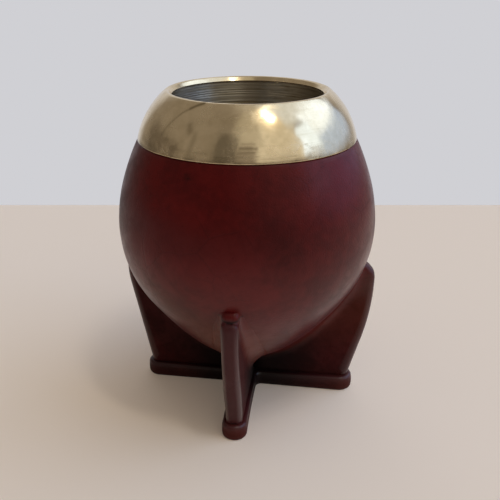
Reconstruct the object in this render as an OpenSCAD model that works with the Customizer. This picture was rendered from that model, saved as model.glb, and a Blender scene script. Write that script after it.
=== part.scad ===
// Mate cup: a calabash wrapped in dyed leather, with a spun metal collar at the mouth,
// four leather fins and a cross-shaped leather foot.
// Millimetres. +Z is up, the cup's axis is Z, the ground is z = 0 and the front is -Y.

/* [Wrapped gourd] */
// Largest radius of the leather-wrapped body
belly_r = 45; // [38:0.5:55]
// Height of the largest radius above the ground
belly_z = 66.8; // [60:0.2:74]
// Height of the body's lowest point above the ground
bowl_z = 14.3; // [11:0.1:18]
// Radius of the outline's arc just below the belly
lower_belly_arc = 43; // [38:0.5:48]
// Angle that the lower belly arc covers
lower_belly_deg = 33; // [28:0.5:37]
// Angle that the flatter flank arc covers before the round bottom
flank_deg = 14; // [10:0.5:20]
// Radius of the outline's arc just above the belly
upper_belly_arc = 53; // [45:0.5:65]
// Angle that the upper belly arc covers
upper_belly_deg = 16; // [10:0.5:20]
// Radius of the shoulder arc that runs up to the collar
shoulder_arc = 82; // [65:1:110]
// Wall of the dried gourd
gourd_wall = 4.5; // [3:0.1:6]
// Depth of the gourd's cut rim below the top of the lip
rim_drop = 4.5; // [4:0.1:7]

/* [Leather cover] */
// Thickness of the leather over the gourd
leather_t = 2; // [1.6:0.1:3]
// Height of the thinned leather that runs up under the collar
tuck_h = 6; // [3:0.5:9]
// Depth below the collar's edge at which the leather starts to thin
tuck_root = 1; // [0.6:0.1:2]

/* [Collar] */
// Height of the collar's lower edge
collar_z = 96.8; // [93:0.1:100]
// Height of the top of the lip, which is the cup's height
lip_z = 112.5; // [109:0.1:118]
// Radius of the top ridge of the lip
lip_r = 26.8; // [23:0.1:30]
// Radius of the domed outline of the collar
dome_arc = 27.5; // [22:0.5:40]
// Thickness of the collar's sheet
sheet_t = 0.9; // [0.6:0.05:1.2]
// Radius of the rolled bead along the lip
bead_r = 1.1; // [0.9:0.05:1.4]
// How far the collar's lower edge stands proud of the leather
collar_proud = 0.15; // [0:0.05:0.6]

/* [Mouth sleeve] */
// Wall of the sleeve that lines the mouth
sleeve_t = 0.6; // [0.4:0.05:0.9]
// Length of the sleeve down into the gourd
sleeve_len = 15; // [10:0.5:24]
// How far the sleeve's wall stands back from the inner edge of the lip
sleeve_setback = 0.2; // [0.1:0.05:0.6]
// Radius of the bead rolled at the sleeve's lower edge
sleeve_bead = 0.6; // [0.5:0.05:0.9]

/* [Fins] */
// Thickness of a fin
fin_t = 5.7; // [4.8:0.1:7]
// Radius of the rounded corners of a fin's outer edge
fin_corner = 1.9; // [1:0.1:2.3]
// Distance from the axis to a fin's widest point
fin_reach = 46; // [43:0.2:50]
// Height of a fin's widest point
fin_widest_z = 46.6; // [42:0.2:50]
// Radius of the rounded top of a fin
fin_tip_arc = 6; // [5:0.5:9]
// Radius of the outer edge below the widest point
fin_curve = 75; // [60:1:120]
// Radius of the flare that blends the lower part of a fin into the body
fin_flare = 6; // [3:0.5:8]
// Radius of the flare at the tip of a fin
tip_flare = 1; // [0.6:0.1:3]
// Angle of the body's outline over which the flare widens from the tip down
flare_deg = 24; // [12:1:28]
// Thickness of the pared edge of the flare
fin_pared = 0.35; // [0.25:0.05:0.6]
// How far a foot arm runs out past its fin
fin_step = 1.8; // [1:0.1:4]
// How far the knuckle at the top of the front fin stands out
knuckle = 0.8; // [0.2:0.1:1.2]
// Length of the knuckle along the fin's edge
knuckle_len = 4; // [3:0.2:6]
// How the hand-cut fins differ in reach: front, right, back, left
reach_trim = [0, 0.4, 0, -0.8]; // [-2:0.1:2]
// How the hand-cut fins differ in the radius of their outer edge
curve_trim = [0, 20, 0, -35]; // [-35:1:40]
// How the hand-cut fins differ in the height of their widest point
widest_trim = [-1.8, 0, 0, 0]; // [-3:0.1:2]
// How far the fins and their arms are turned from the square cross
turn_trim = [1.3, 0, 0, 0]; // [-1.5:0.1:1.5]

/* [Cross foot] */
// Thickness of the foot
foot_t = 5.6; // [4:0.1:7]
// Length of a foot arm from the axis
arm_len = 40.2; // [36:0.2:46]
// Width of a foot arm
arm_w = 9.2; // [8.6:0.1:12]
// How the hand-cut arms differ in width: front, right, back, left
width_trim = [-0.6, 0.8, 0, 0.4]; // [-0.6:0.1:2]
// Radius in the corner between two arms
corner_r = 2.2; // [1:0.1:4]
// Radius of the softened upper edge
top_edge_r = 1.4; // [0.6:0.1:1.8]
// Radius of the softened lower edge
sole_edge_r = 0.8; // [0.4:0.1:1.2]
// How the hand-cut arms differ in length: front, right, back, left
arm_trim = [-0.4, 0.3, 0, -0.6]; // [-2:0.1:2]

/* [Fits] */
// Clearance between pieces that seat on each other
fit_gap = 0.1; // [0.05:0.01:0.2]
// Clearance between the body and the curved seat of a fin
fin_gap = 0.25; // [0.22:0.01:0.35]
// Distance from a fin's mitred inner end to the mitre's plane
mitre_gap = 0.35; // [0.35:0.01:0.5]

/* [Hidden] */

// Facets of a turned form, of the arcs in its outline and of the beads
turn_fn = 72;
arc_fn = 96;
bead_fn = 32;

// How far a cutting shape runs past the form that it cuts
over = 1;

leather_color = [0.32, 0.07, 0.07];
collar_color = [0.80, 0.74, 0.58];
sleeve_color = [0.62, 0.60, 0.54];
gourd_color = [0.62, 0.47, 0.27];

function along(angle) = [cos(angle), sin(angle)];
function angle_of(v) = atan2(v[1], v[0]);

// The body's outline is a chain of arcs that share a tangent where they meet.
// An arc is [centre, radius, first angle, last angle], and its angles are those of its normals.
belly_c = [belly_r - lower_belly_arc, belly_z];
flank_top_deg = -lower_belly_deg;
bowl_top_deg = flank_top_deg - flank_deg;

// The flank's radius and the bowl's follow from a bowl that is centred on the axis and
// touches the height bowl_z: two linear equations in the two radii.
eq_flank = along(bowl_top_deg) - along(flank_top_deg);
eq_bowl = [-cos(bowl_top_deg), -sin(bowl_top_deg) - 1];
eq_sum = [0, bowl_z] - belly_c - lower_belly_arc * along(flank_top_deg);
eq_det = eq_flank[0] * eq_bowl[1] - eq_bowl[0] * eq_flank[1];
flank_arc = (eq_sum[0] * eq_bowl[1] - eq_bowl[0] * eq_sum[1]) / eq_det;
bowl_arc = (eq_flank[0] * eq_sum[1] - eq_flank[1] * eq_sum[0]) / eq_det;

flank_c = belly_c + (lower_belly_arc - flank_arc) * along(flank_top_deg);
bowl_c = [0, bowl_z + bowl_arc];
upper_c = [belly_r - upper_belly_arc, belly_z];
shoulder_c = upper_c + (upper_belly_arc - shoulder_arc) * along(upper_belly_deg);

// The shoulder arc is drawn past the collar's edge and cut level there.
shoulder_spare_deg = 20;

BOWL = [bowl_c, bowl_arc, -90, bowl_top_deg];
FLANK = [flank_c, flank_arc, bowl_top_deg, flank_top_deg];
LOWER_BELLY = [belly_c, lower_belly_arc, flank_top_deg, 0];
UPPER_BELLY = [upper_c, upper_belly_arc, 0, upper_belly_deg];
SHOULDER = [shoulder_c, shoulder_arc, upper_belly_deg, upper_belly_deg + shoulder_spare_deg];

function shoulder_r(z, inset) =
    shoulder_c[0] + sqrt(pow(shoulder_arc - inset, 2) - pow(z - shoulder_c[1], 2));

// The dome of the collar starts at the collar's edge and is tangent to the lip's bead.
collar_edge = [shoulder_r(collar_z, 0) + collar_proud, collar_z];
bead_c = [lip_r, lip_z - bead_r];

// Meeting point of two circles, on the left of the way from the first centre to the second
function left_meet(p, rp, q, rq) =
    let (d = norm(q - p), a = (rp * rp - rq * rq + d * d) / (2 * d), h = sqrt(rp * rp - a * a))
    p + a * (q - p) / d + h * [p[1] - q[1], q[0] - p[0]] / d;

dome_c = left_meet(collar_edge, dome_arc, bead_c, dome_arc - bead_r);
bead_deg = angle_of(bead_c - dome_c);

rim_z = lip_z - rim_drop;
gourd_inset = leather_t + fit_gap;
cavity_inset = gourd_inset + gourd_wall;
tuck_inset = sheet_t + fit_gap;

// The sleeve comes up under the round of the lip's bead, and the gourd is bored for it and
// for the bead at its lower edge.
sleeve_r = lip_r - bead_r + sleeve_setback;
sleeve_out_r = sleeve_r + sleeve_t;
sleeve_top_z = bead_c[1] - sqrt(pow(bead_r + fit_gap, 2) - pow(lip_r - sleeve_out_r, 2));
sleeve_foot_z = sleeve_top_z - sleeve_len;
bore_r = sleeve_r + 2 * sleeve_bead + fit_gap;
bore_z = sleeve_foot_z - sleeve_bead - fit_gap;

// The part of a disc between two of its normals, cut by a kite that reaches past the arc
module arc_sector(arc, inset) {
    middle = (arc[2] + arc[3]) / 2;
    reach = 2 * arc[1];
    intersection() {
        translate(arc[0]) circle(r = arc[1] - inset, $fn = 2 * arc_fn);
        translate(arc[0])
            polygon([[0, 0], reach * along(arc[2]), reach * along(middle), reach * along(arc[3])]);
    }
}

// Half section of the body from its bottom to the collar's edge, shrunk by inset. The core
// lies a little inside the arcs and joins their sectors.
core_inset = 0.5;
function arc_start(arc, inset) = arc[0] + (arc[1] - inset) * along(arc[2]);

module body_section(inset) {
    arcs = [BOWL, FLANK, LOWER_BELLY, UPPER_BELLY, SHOULDER];
    deep = inset + core_inset;
    intersection() {
        union() {
            for (arc = arcs) arc_sector(arc, inset);
            polygon([for (arc = arcs) arc_start(arc, deep), [shoulder_r(collar_z, deep), collar_z],
                     [0, collar_z]]);
        }
        translate([0, bowl_z - over]) square([belly_r + over, collar_z - bowl_z + over]);
    }
}

// Half section below the dome, between two heights, shrunk by inset
module dome_section(inset, low, top) {
    intersection() {
        translate(dome_c) circle(r = dome_arc - inset, $fn = arc_fn);
        translate([0, low]) square([collar_edge[0] + over, top - low]);
    }
}

module gourd_shell() {
    color(gourd_color)
        rotate_extrude($fn = turn_fn)
            difference() {
                union() {
                    body_section(gourd_inset);
                    dome_section(gourd_inset, collar_z, rim_z);
                }
                union() {
                    body_section(cavity_inset);
                    dome_section(cavity_inset, collar_z, rim_z);
                }
                translate([0, bore_z]) square([bore_r, lip_z - bore_z]);
            }
}

module leather_cover() {
    color(leather_color)
        rotate_extrude($fn = turn_fn)
            difference() {
                union() {
                    intersection() {
                        body_section(0);
                        square([belly_r + over, collar_z - fit_gap]);
                    }
                    dome_section(tuck_inset, collar_z - tuck_root, collar_z + tuck_h);
                }
                body_section(leather_t);
                dome_section(leather_t, collar_z - tuck_root / 2, lip_z);
            }
}

// The dome is drawn past the collar's edge too and cut level there.
dome_spare_deg = -10;
module collar() {
    dome = [dome_c, dome_arc, dome_spare_deg, bead_deg];
    color(collar_color)
        rotate_extrude($fn = turn_fn) {
            intersection() {
                difference() {
                    arc_sector(dome, 0);
                    translate(dome_c) circle(r = dome_arc - sheet_t, $fn = arc_fn);
                }
                translate([0, collar_z]) square([belly_r, lip_z - collar_z]);
            }
            translate(bead_c) circle(r = bead_r, $fn = bead_fn);
        }
}

module mouth_sleeve() {
    color(sleeve_color)
        rotate_extrude($fn = turn_fn) {
            translate([sleeve_r, sleeve_foot_z]) square([sleeve_t, sleeve_len]);
            translate([sleeve_r + sleeve_bead, sleeve_foot_z])
                circle(r = sleeve_bead, $fn = bead_fn);
        }
}

// A fin is worked out in its own plane, where a point is [distance from the axis, height].
// It is described by its reach, the radius of its outer edge, the end of its foot, the
// height of its knuckle and the height of its widest point.
fin_half = fin_t / 2;
seat_z = foot_t + fit_gap;
axis_clear = 1.2;
function fin_form(i) = [fin_reach + reach_trim[i], fin_curve + curve_trim[i],
                        arm_len + arm_trim[i] - fin_step, i == 0 ? knuckle : 0,
                        fin_widest_z + widest_trim[i]];

function edge_c(form) = [form[0] - form[1], form[4]];
function tip_c(form) = [form[0] - fin_tip_arc, form[4]];

// Angle at which the outer edge leaves its arc for the straight run down to the foot
function edge_deg(form) =
    let (v = [form[2], seat_z] - edge_c(form))
    atan2(-v[1], v[0]) - acos(min(1, form[1] / norm(v)));

// Where the tip comes down onto the body, and the angles of that place seen from the centre
// of the tip's arc and from the centre of the belly arc
function tip_last(form) =
    left_meet(belly_c, lower_belly_arc + fin_gap + tip_end, tip_c(form), fin_tip_arc);
function tip_deg(form) = angle_of(tip_last(form) - tip_c(form));
function body_tip_deg(form) = angle_of(tip_last(form) - belly_c);

// Distance of the tip's outline from the centre of its arc, at an angle. The knuckle stands
// out there and has a shallow nick below it, at nick_at of the knuckle's length.
nick_at = 0.74;
nick_span = 0.5;
function bump(at, size) = exp(-pow(2 * at / size, 2));
function tip_edge(form, deg) =
    let (run = max(0, fin_tip_arc * (tip_deg(form) - deg) * PI / 180))
    fin_tip_arc + form[3] * (bump(run, knuckle_len)
                             - bump(run - nick_at * knuckle_len, nick_span * knuckle_len));

// Distance of a point from the fin's outline, inwards
function edge_depth(form, p) =
    let (v = p - edge_c(form), low = edge_deg(form))
    p[1] > form[4] ? tip_edge(form, angle_of(p - tip_c(form))) - norm(p - tip_c(form))
    : atan2(-v[1], v[0]) > low ? form[1] - v * along(-low)
    : form[1] - norm(v);

// The arc of the body that lies nearest to a point outside it
function nearest_arc(p) =
    angle_of(p - belly_c) > flank_top_deg ? LOWER_BELLY
    : angle_of(p - flank_c) > bowl_top_deg ? FLANK : BOWL;

// Radius of the flare in the section at an angle of the body's outline
function flare_r(form, deg) =
    let (share = min(1, (body_tip_deg(form) - deg) / flare_deg))
    tip_flare + (fin_flare - tip_flare) * share * share * (3 - 2 * share);

// Extra half width at a distance from the body: a quarter circle that opens towards it
function flare(r, d) =
    d <= fin_pared ? r
    : d >= fin_pared + r ? 0
    : r - sqrt(pow(r, 2) - pow(fin_pared + r - d, 2));

// Share of the full width at a depth from the outline: the outer edge with its round corners
function rounding(depth) =
    let (short = max(0, fin_corner - max(0, depth)))
    1 - (fin_corner - sqrt(pow(fin_corner, 2) - pow(short, 2))) / fin_half;

// Half width of the fin at p, where d is the distance from its seat on the body. Near the
// axis it stops at the mitre with the next fin.
function half_width(form, p, r, d) =
    min(p[0] * sin(45) - mitre_gap, (fin_half + flare(r, d)) * rounding(edge_depth(form, p)));

// Points of the outline: along the foot, up the outer edge and over the tip to the body
seat_steps = 8;
seat_round = [for (a = [90 : -22 : 24]) a];
edge_steps = 3;
curve_steps = 9;
tip_steps = 12;
tip_end = 0.3;

function seat_points(form) =
    let (inner = form[2] - fin_corner)
    [for (i = [0 : seat_steps - 1]) [axis_clear + (inner - axis_clear) * i / seat_steps, seat_z],
     for (a = seat_round) [form[2] - fin_corner * (1 - cos(a)), seat_z]];

function edge_points(form) =
    let (low = edge_deg(form), foot = [form[2], seat_z],
         top = edge_c(form) + form[1] * along(-low), tip_span = tip_deg(form) / tip_steps)
    [for (i = [0 : edge_steps - 1]) foot + (top - foot) * i / edge_steps,
     for (i = [0 : curve_steps - 1])
         edge_c(form) + form[1] * along(-low * (1 - i / curve_steps)),
     for (i = [0 : tip_steps])
         tip_c(form) + tip_edge(form, tip_span * i) * along(tip_span * i)];

// Samples across a fin, from its outer edge in to its seat on the body
round_degs = [12, 28, 46, 66, 90];
flare_degs = [90, 68, 46, 24, 0];
seat_spans = 8;
flat_least = 0.5;

// Distances from the seat to the samples of one side, for a flare of radius r. A short
// section is scaled to fit.
function side_depths(length, r, level) =
    let (k = min(1, length / (fin_pared + r + fin_corner + flat_least)))
    [for (i = [0 : len(round_degs) - 1])
         length - k * fin_corner * (level && i == 0 ? 0 : 1 - cos(round_degs[i])),
     for (a = flare_degs) k * (fin_pared + r * (1 - cos(a))),
     0];

// One closed ring of the fin, in the section that is square to the body and ends at q
function fin_ring(form, q, level) =
    let (arc = nearest_arc(q), deg = angle_of(q - arc[0]), base = arc[1] + fin_gap,
         length = norm(q - arc[0]) - base, r = flare_r(form, deg),
         side = [for (d = side_depths(length, r, level))
                     let (p = arc[0] + (base + d) * along(deg)) [p, half_width(form, p, r, d)]],
         seat = side[len(side) - 1])
    [[q[0], 0, q[1]],
     for (s = side) ring_point(s[0], s[1]),
     for (i = [1 : seat_spans - 1]) ring_point(seat[0], seat[1] * (1 - 2 * i / seat_spans)),
     for (i = [len(side) - 1 : -1 : 0]) ring_point(side[i][0], -side[i][1])];

function ring_point(p, y) = [sqrt(p[0] * p[0] - y * y), y, p[1]];

// Faces of a closed skin over n rings of m points, with a cap fanned from a middle point at
// each end. The two middle points follow the rings.
function skin_faces(n, m) =
    [for (j = [0 : m - 1])
         let (k = (j + 1) % m, top = (n - 1) * m)
         each [[n * m, j, k], [n * m + 1, top + k, top + j]],
     for (i = [0 : n - 2], j = [0 : m - 1])
         let (a = i * m + j, b = i * m + (j + 1) % m)
         each [[a, a + m, b], [b, a + m, b + m]]];

function middle_of(ring) = [for (axis = [0 : 2]) [for (p = ring) p[axis]] * [for (p = ring) 1]] / len(ring);

module skin(rings) {
    polyhedron(points = [for (ring = rings) each ring, middle_of(rings[0]),
                         middle_of(rings[len(rings) - 1])],
               faces = skin_faces(len(rings), len(rings[0])), convexity = 6);
}

module fin(i) {
    form = fin_form(i);
    color(leather_color)
        rotate(90 * (i - 1) + turn_trim[i])
            skin([for (q = seat_points(form)) fin_ring(form, q, true),
                  for (q = edge_points(form)) fin_ring(form, q, false)]);
}

module fin_front() { fin(0); }
module fin_right() { fin(1); }
module fin_back() { fin(2); }
module fin_left() { fin(3); }

// Outline of the cross foot, shrunk by inset: rounded arm ends and hollow corners
end_steps = 12;
corner_steps = 4;
function arm_half(i) = (arm_w + width_trim[i % 4]) / 2;
function cross_ring(inset, z) =
    [for (i = [0 : 3])
        let (turn = 90 * (i - 1), half = arm_half(i), end_x = arm_len + arm_trim[i] - half,
             hollow = [arm_half(i + 1) + corner_r, half + corner_r])
        each [for (j = [0 : end_steps])
                  spin([end_x, 0] + (half - inset) * along(180 * j / end_steps - 90),
                       turn + turn_trim[i], z),
              for (j = [0 : corner_steps])
                  spin(hollow + (corner_r + inset) * along(270 - 90 * j / corner_steps),
                       turn, z)]];

function spin(p, turn, z) =
    [p[0] * cos(turn) - p[1] * sin(turn), p[0] * sin(turn) + p[1] * cos(turn), z];

// The foot's sole and top are flat, and its edges are quarter rounds.
edge_degs = [0, 30, 60, 90];
module cross_foot() {
    color(leather_color)
        skin([for (a = edge_degs)
                  cross_ring(sole_edge_r * (1 - sin(a)), sole_edge_r * (1 - cos(a))),
              for (a = edge_degs)
                  cross_ring(top_edge_r * (1 - cos(a)), foot_t - top_edge_r * (1 - sin(a)))]);
}

gourd_shell();
leather_cover();
collar();
mouth_sleeve();
fin_front();
fin_right();
fin_back();
fin_left();
cross_foot();
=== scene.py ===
"""Looks of a mate cup: a leather-wrapped gourd with a spun metal collar, four fins and a cross foot."""
import logging
import math
from dataclasses import dataclass, field
from enum import Enum
from functools import cached_property
from typing import Callable

import bpy
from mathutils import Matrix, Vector, noise


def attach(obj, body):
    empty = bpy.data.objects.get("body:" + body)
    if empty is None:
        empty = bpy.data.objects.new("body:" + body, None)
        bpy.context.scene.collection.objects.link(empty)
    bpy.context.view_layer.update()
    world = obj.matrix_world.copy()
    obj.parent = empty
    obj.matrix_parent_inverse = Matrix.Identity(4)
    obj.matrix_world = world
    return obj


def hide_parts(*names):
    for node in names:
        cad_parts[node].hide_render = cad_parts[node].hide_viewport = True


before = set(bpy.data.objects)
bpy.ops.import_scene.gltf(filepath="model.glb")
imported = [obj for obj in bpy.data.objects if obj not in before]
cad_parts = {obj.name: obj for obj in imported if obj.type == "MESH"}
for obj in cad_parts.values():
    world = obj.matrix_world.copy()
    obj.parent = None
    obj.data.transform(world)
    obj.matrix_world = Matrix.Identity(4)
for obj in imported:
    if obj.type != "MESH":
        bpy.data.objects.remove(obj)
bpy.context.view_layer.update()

log = logging.getLogger("mate_cup")

MM = 0.001
ROOT_BODY = "root"

Point2 = tuple[float, float]
Point3 = tuple[float, float, float]
Color = tuple[float, float, float]
Socket = bpy.types.NodeSocket


def along(degrees: float) -> Point2:
    """Return the unit vector at an angle in the plane.

    Args:
        degrees: Angle from the first axis.

    Returns:
        The vector's two parts.
    """
    turn = math.radians(degrees)
    return math.cos(turn), math.sin(turn)


def angle_of(vector: Point2) -> float:
    """Return a plane vector's angle in degrees."""
    return math.degrees(math.atan2(vector[1], vector[0]))


def ease(value: float, low: float, high: float) -> float:
    """Rise smoothly from 0 at low to 1 at high.

    Args:
        value: Where the rise is read.
        low: Value at which it starts.
        high: Value at which it ends.

    Returns:
        A share from 0 to 1.
    """
    share = min(1.0, max(0.0, (value - low) / (high - low)))
    return share * share * (3 - 2 * share)


def bell(value: float, middle: float, width: float) -> float:
    """Return a smooth bump of height 1 around a middle value."""
    return math.exp(-(((value - middle) / width) ** 2))


def drop(degrees: float) -> float:
    """Return how far a circle of radius 1 falls away from its tangent over an angle."""
    return 1 - math.cos(math.radians(degrees))


def left_meet(p: Point2, rp: float, q: Point2, rq: float) -> Point2:
    """Return the meeting point of two circles on the left of the way from the first to the second.

    Args:
        p: Centre of the first circle.
        rp: Its radius.
        q: Centre of the second circle.
        rq: Its radius.

    Returns:
        The point, in the circles' plane.
    """
    dx, dz = q[0] - p[0], q[1] - p[1]
    d = math.hypot(dx, dz)
    a = (rp * rp - rq * rq + d * d) / (2 * d)
    h = math.sqrt(max(0.0, rp * rp - a * a))
    return p[0] + (a * dx - h * dz) / d, p[1] + (a * dz + h * dx) / d


# Shapes of the section


@dataclass(frozen=True)
class Arc:
    """A stretch of a circle in the half section, from one angle of its normal to another."""

    centre: Point2
    radius: float
    first: float
    last: float

    def at(self, degrees: float, inset: float = 0.0) -> Point2:
        """Return the point whose normal has an angle.

        Args:
            degrees: Angle of the normal.
            inset: How far the point lies inside the arc.

        Returns:
            Distance from the axis and height.
        """
        c, s = along(degrees)
        reach = self.radius - inset
        return self.centre[0] + reach * c, self.centre[1] + reach * s

    def samples(self, step: float, inset: float = 0.0) -> list[Point2]:
        """Return points along the arc, its last end left out.

        Args:
            step: Longest distance between two points, in millimetres.
            inset: How far the points lie inside the arc.

        Returns:
            The points, from the first end on.
        """
        length = math.radians(abs(self.last - self.first)) * self.radius
        count = max(2, math.ceil(length / step))
        span = (self.last - self.first) / count
        return [self.at(self.first + span * i, inset) for i in range(count)]


@dataclass(frozen=True)
class BodyOutline:
    """Half section of the wrapped gourd: a chain of arcs that share their tangents."""

    belly_r: float = 45.0
    belly_z: float = 66.8
    bowl_z: float = 14.3
    lower_arc: float = 43.0
    lower_deg: float = 33.0
    flank_deg: float = 14.0
    upper_arc: float = 53.0
    upper_deg: float = 16.0
    shoulder_arc: float = 82.0
    collar_z: float = 96.8

    @cached_property
    def belly(self) -> Arc:
        """Return the arc just below the widest place."""
        return Arc((self.belly_r - self.lower_arc, self.belly_z), self.lower_arc, -self.lower_deg, 0.0)

    @cached_property
    def _lower_radii(self) -> tuple[float, float]:
        """Return the radii that join the belly smoothly to a bowl centred on the axis.

        Returns:
            The flank's radius and the bowl's.
        """
        top, low = -self.lower_deg, -self.lower_deg - self.flank_deg
        (ct, st), (cl, sl) = along(top), along(low)
        flank, bowl = (cl - ct, sl - st), (-cl, -sl - 1)
        goal = (-self.belly.centre[0] - self.lower_arc * ct,
                self.bowl_z - self.belly_z - self.lower_arc * st)
        det = flank[0] * bowl[1] - bowl[0] * flank[1]
        return ((goal[0] * bowl[1] - bowl[0] * goal[1]) / det,
                (flank[0] * goal[1] - flank[1] * goal[0]) / det)

    @cached_property
    def flank(self) -> Arc:
        """Return the flatter arc between the belly and the bowl.

        Returns:
            The arc, from its lower end to its upper one.
        """
        radius = self._lower_radii[0]
        c, s = along(-self.lower_deg)
        centre = (self.belly.centre[0] + (self.lower_arc - radius) * c,
                  self.belly.centre[1] + (self.lower_arc - radius) * s)
        return Arc(centre, radius, -self.lower_deg - self.flank_deg, -self.lower_deg)

    @cached_property
    def bowl(self) -> Arc:
        """Return the round bottom."""
        radius = self._lower_radii[1]
        return Arc((0.0, self.bowl_z + radius), radius, -90.0, self.flank.first)

    @cached_property
    def upper(self) -> Arc:
        """Return the arc just above the widest place."""
        return Arc((self.belly_r - self.upper_arc, self.belly_z), self.upper_arc, 0.0, self.upper_deg)

    @cached_property
    def shoulder(self) -> Arc:
        """Return the arc that runs up to the collar.

        Returns:
            The arc, from its lower end to the collar's edge.
        """
        c, s = along(self.upper_deg)
        lead = self.upper_arc - self.shoulder_arc
        centre = self.upper.centre[0] + lead * c, self.upper.centre[1] + lead * s
        last = math.degrees(math.asin((self.collar_z - centre[1]) / self.shoulder_arc))
        return Arc(centre, self.shoulder_arc, self.upper_deg, last)

    def profile(self, step: float, inset: float = 0.0) -> list[Point2]:
        """Return the outline from its lowest point to the collar's edge.

        Args:
            step: Longest distance between two points.
            inset: How far the outline is shrunk.

        Returns:
            Points of distance from the axis and height.
        """
        points: list[Point2] = []
        for arc in (self.bowl, self.flank, self.belly, self.upper, self.shoulder):
            points += arc.samples(step, inset)
        points.append(self.shoulder.at(self.shoulder.last, inset))
        points[0] = (0.0, points[0][1])
        return points

    def nearest(self, p: Point2) -> Arc:
        """Return the arc nearest to a point beside the lower half.

        Args:
            p: Distance from the axis and height.

        Returns:
            The belly, the flank or the bowl.
        """
        centre = self.belly.centre
        if angle_of((p[0] - centre[0], p[1] - centre[1])) > self.belly.first:
            return self.belly
        centre = self.flank.centre
        if angle_of((p[0] - centre[0], p[1] - centre[1])) > self.flank.first:
            return self.flank
        return self.bowl


@dataclass(frozen=True)
class Relief:
    """The slow unevenness of a grown gourd under hand-stretched leather."""

    height: float = 0.16
    wave: float = 24.0
    fine_share: float = 0.3
    fine_ratio: float = 3.4
    fine_start: Point3 = (7.0, 3.0, 1.0)

    def at(self, point: Point3) -> float:
        """Return how far the surface stands out at a point.

        Args:
            point: Place in millimetres.

        Returns:
            Millimetres along the surface's normal.
        """
        broad = noise.noise(Vector(point) / self.wave)
        fine = noise.noise(Vector(point) / (self.wave / self.fine_ratio) + Vector(self.fine_start))
        return self.height * (broad + self.fine_share * fine)


@dataclass(frozen=True)
class RootToneAndLight:
    """Where the leather is lighter, low on the body beside the fins: partly its own russet tone, partly
    painted light on the fins' flares.
    """

    top: float = 50.0
    low: float = 30.0
    beside: float = 17.0
    close: float = 4.0
    sides: float = 0.3
    wander: float = 2.5
    wander_size: float = 9.0

    def at(self, point: Point3) -> float:
        """Return the share of the lighter tone at a point.

        Args:
            point: Place on the body, in millimetres.

        Returns:
            A share from 0 to 1.
        """
        wander = self.wander * noise.noise(Vector(point) / self.wander_size)
        front = ease(abs(point[0]) + wander, self.beside, self.close)
        sides = self.sides * ease(abs(point[1]) + wander, self.beside, self.close)
        return ease(point[2], self.top, self.low) * max(front, sides)


ROOT_TONE_AND_LIGHT = RootToneAndLight()


@dataclass(frozen=True)
class Mark:
    """A fine mark on a turned surface: a line through places given by their turn and height."""

    places: tuple[Point2, ...]
    width: float
    depth: float = 1.0

    def at(self, point: Point3) -> float:
        """Return how strong the mark is at a point of the surface.

        Args:
            point: Place in millimetres.

        Returns:
            A share from 0 to the mark's depth.
        """
        around = math.hypot(point[0], point[1])
        here = around * math.atan2(point[1], point[0]), point[2]
        ends = [(around * math.radians(turn), height) for turn, height in self.places]
        nearest = min(self._distance(here, a, b) for a, b in zip(ends, ends[1:] or ends))
        return self.depth * bell(nearest, 0.0, self.width)

    @staticmethod
    def _distance(p: Point2, a: Point2, b: Point2) -> float:
        """Return the distance of a point from a stretch of line.

        Args:
            p: The point, on the unrolled surface.
            a: One end of the stretch.
            b: Its other end.

        Returns:
            Millimetres.
        """
        run = b[0] - a[0], b[1] - a[1]
        length = run[0] ** 2 + run[1] ** 2
        along_it = ((p[0] - a[0]) * run[0] + (p[1] - a[1]) * run[1]) / length if length else 0.0
        share = min(1.0, max(0.0, along_it))
        return math.hypot(p[0] - a[0] - share * run[0], p[1] - a[1] - share * run[1])


def marked(marks: tuple[Mark, ...], point: Point3) -> float:
    """Return the strongest of some marks at a point."""
    return max(mark.at(point) for mark in marks)


CREASES = (
    Mark(((-109.0, 112.2), (-113.0, 111.5), (-117.0, 110.5)), 0.4),
    Mark(((-117.0, 110.5), (-121.0, 109.2), (-124.5, 107.3), (-128.0, 104.8), (-130.0, 102.3)), 0.35, 0.55),
    Mark(((-85.0, 101.2), (-77.5, 101.2)), 0.3, 0.75),
    Mark(((-86.0, 100.0), (-78.0, 100.2)), 0.25, 0.5),
    Mark(((-84.0, 102.4), (-78.0, 102.4)), 0.22, 0.4),
    Mark(((-52.5, 101.4), (-48.5, 99.8)), 0.3, 0.4),
    Mark(((-96.0, 98.7), (-76.0, 99.0)), 0.22, 0.35),
    Mark(((-78.0, 98.1), (-58.0, 98.6)), 0.22, 0.3),
    Mark(((-118.0, 99.6), (-100.0, 99.3)), 0.22, 0.3),
)
STAINS = (
    Mark(((-112.5, 106.3), (-111.5, 105.0)), 1.2, 0.6),
    Mark(((-108.0, 104.2), (-109.0, 101.2), (-109.5, 98.9)), 0.9, 0.4),
    Mark(((-125.0, 101.7),), 0.8, 0.5),
    Mark(((-124.0, 108.0), (-128.5, 103.5)), 1.6, 0.16),
    Mark(((-97.0, 97.8), (-88.0, 97.6)), 0.5, 0.25),
    Mark(((-147.0, 99.6), (-138.0, 98.2), (-128.0, 97.6)), 1.1, 0.4),
)
LEATHER_SPOTS = (Mark(((-107.5, 92.2), (-109.0, 92.7)), 0.8, 0.7),)
# Near-black for painted shadow on the fins and foot under the body, and for the leather's real dark spots.
SHADE_AND_SPOT_DARK: Color = (0.003, 0.0012, 0.0012)


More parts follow.
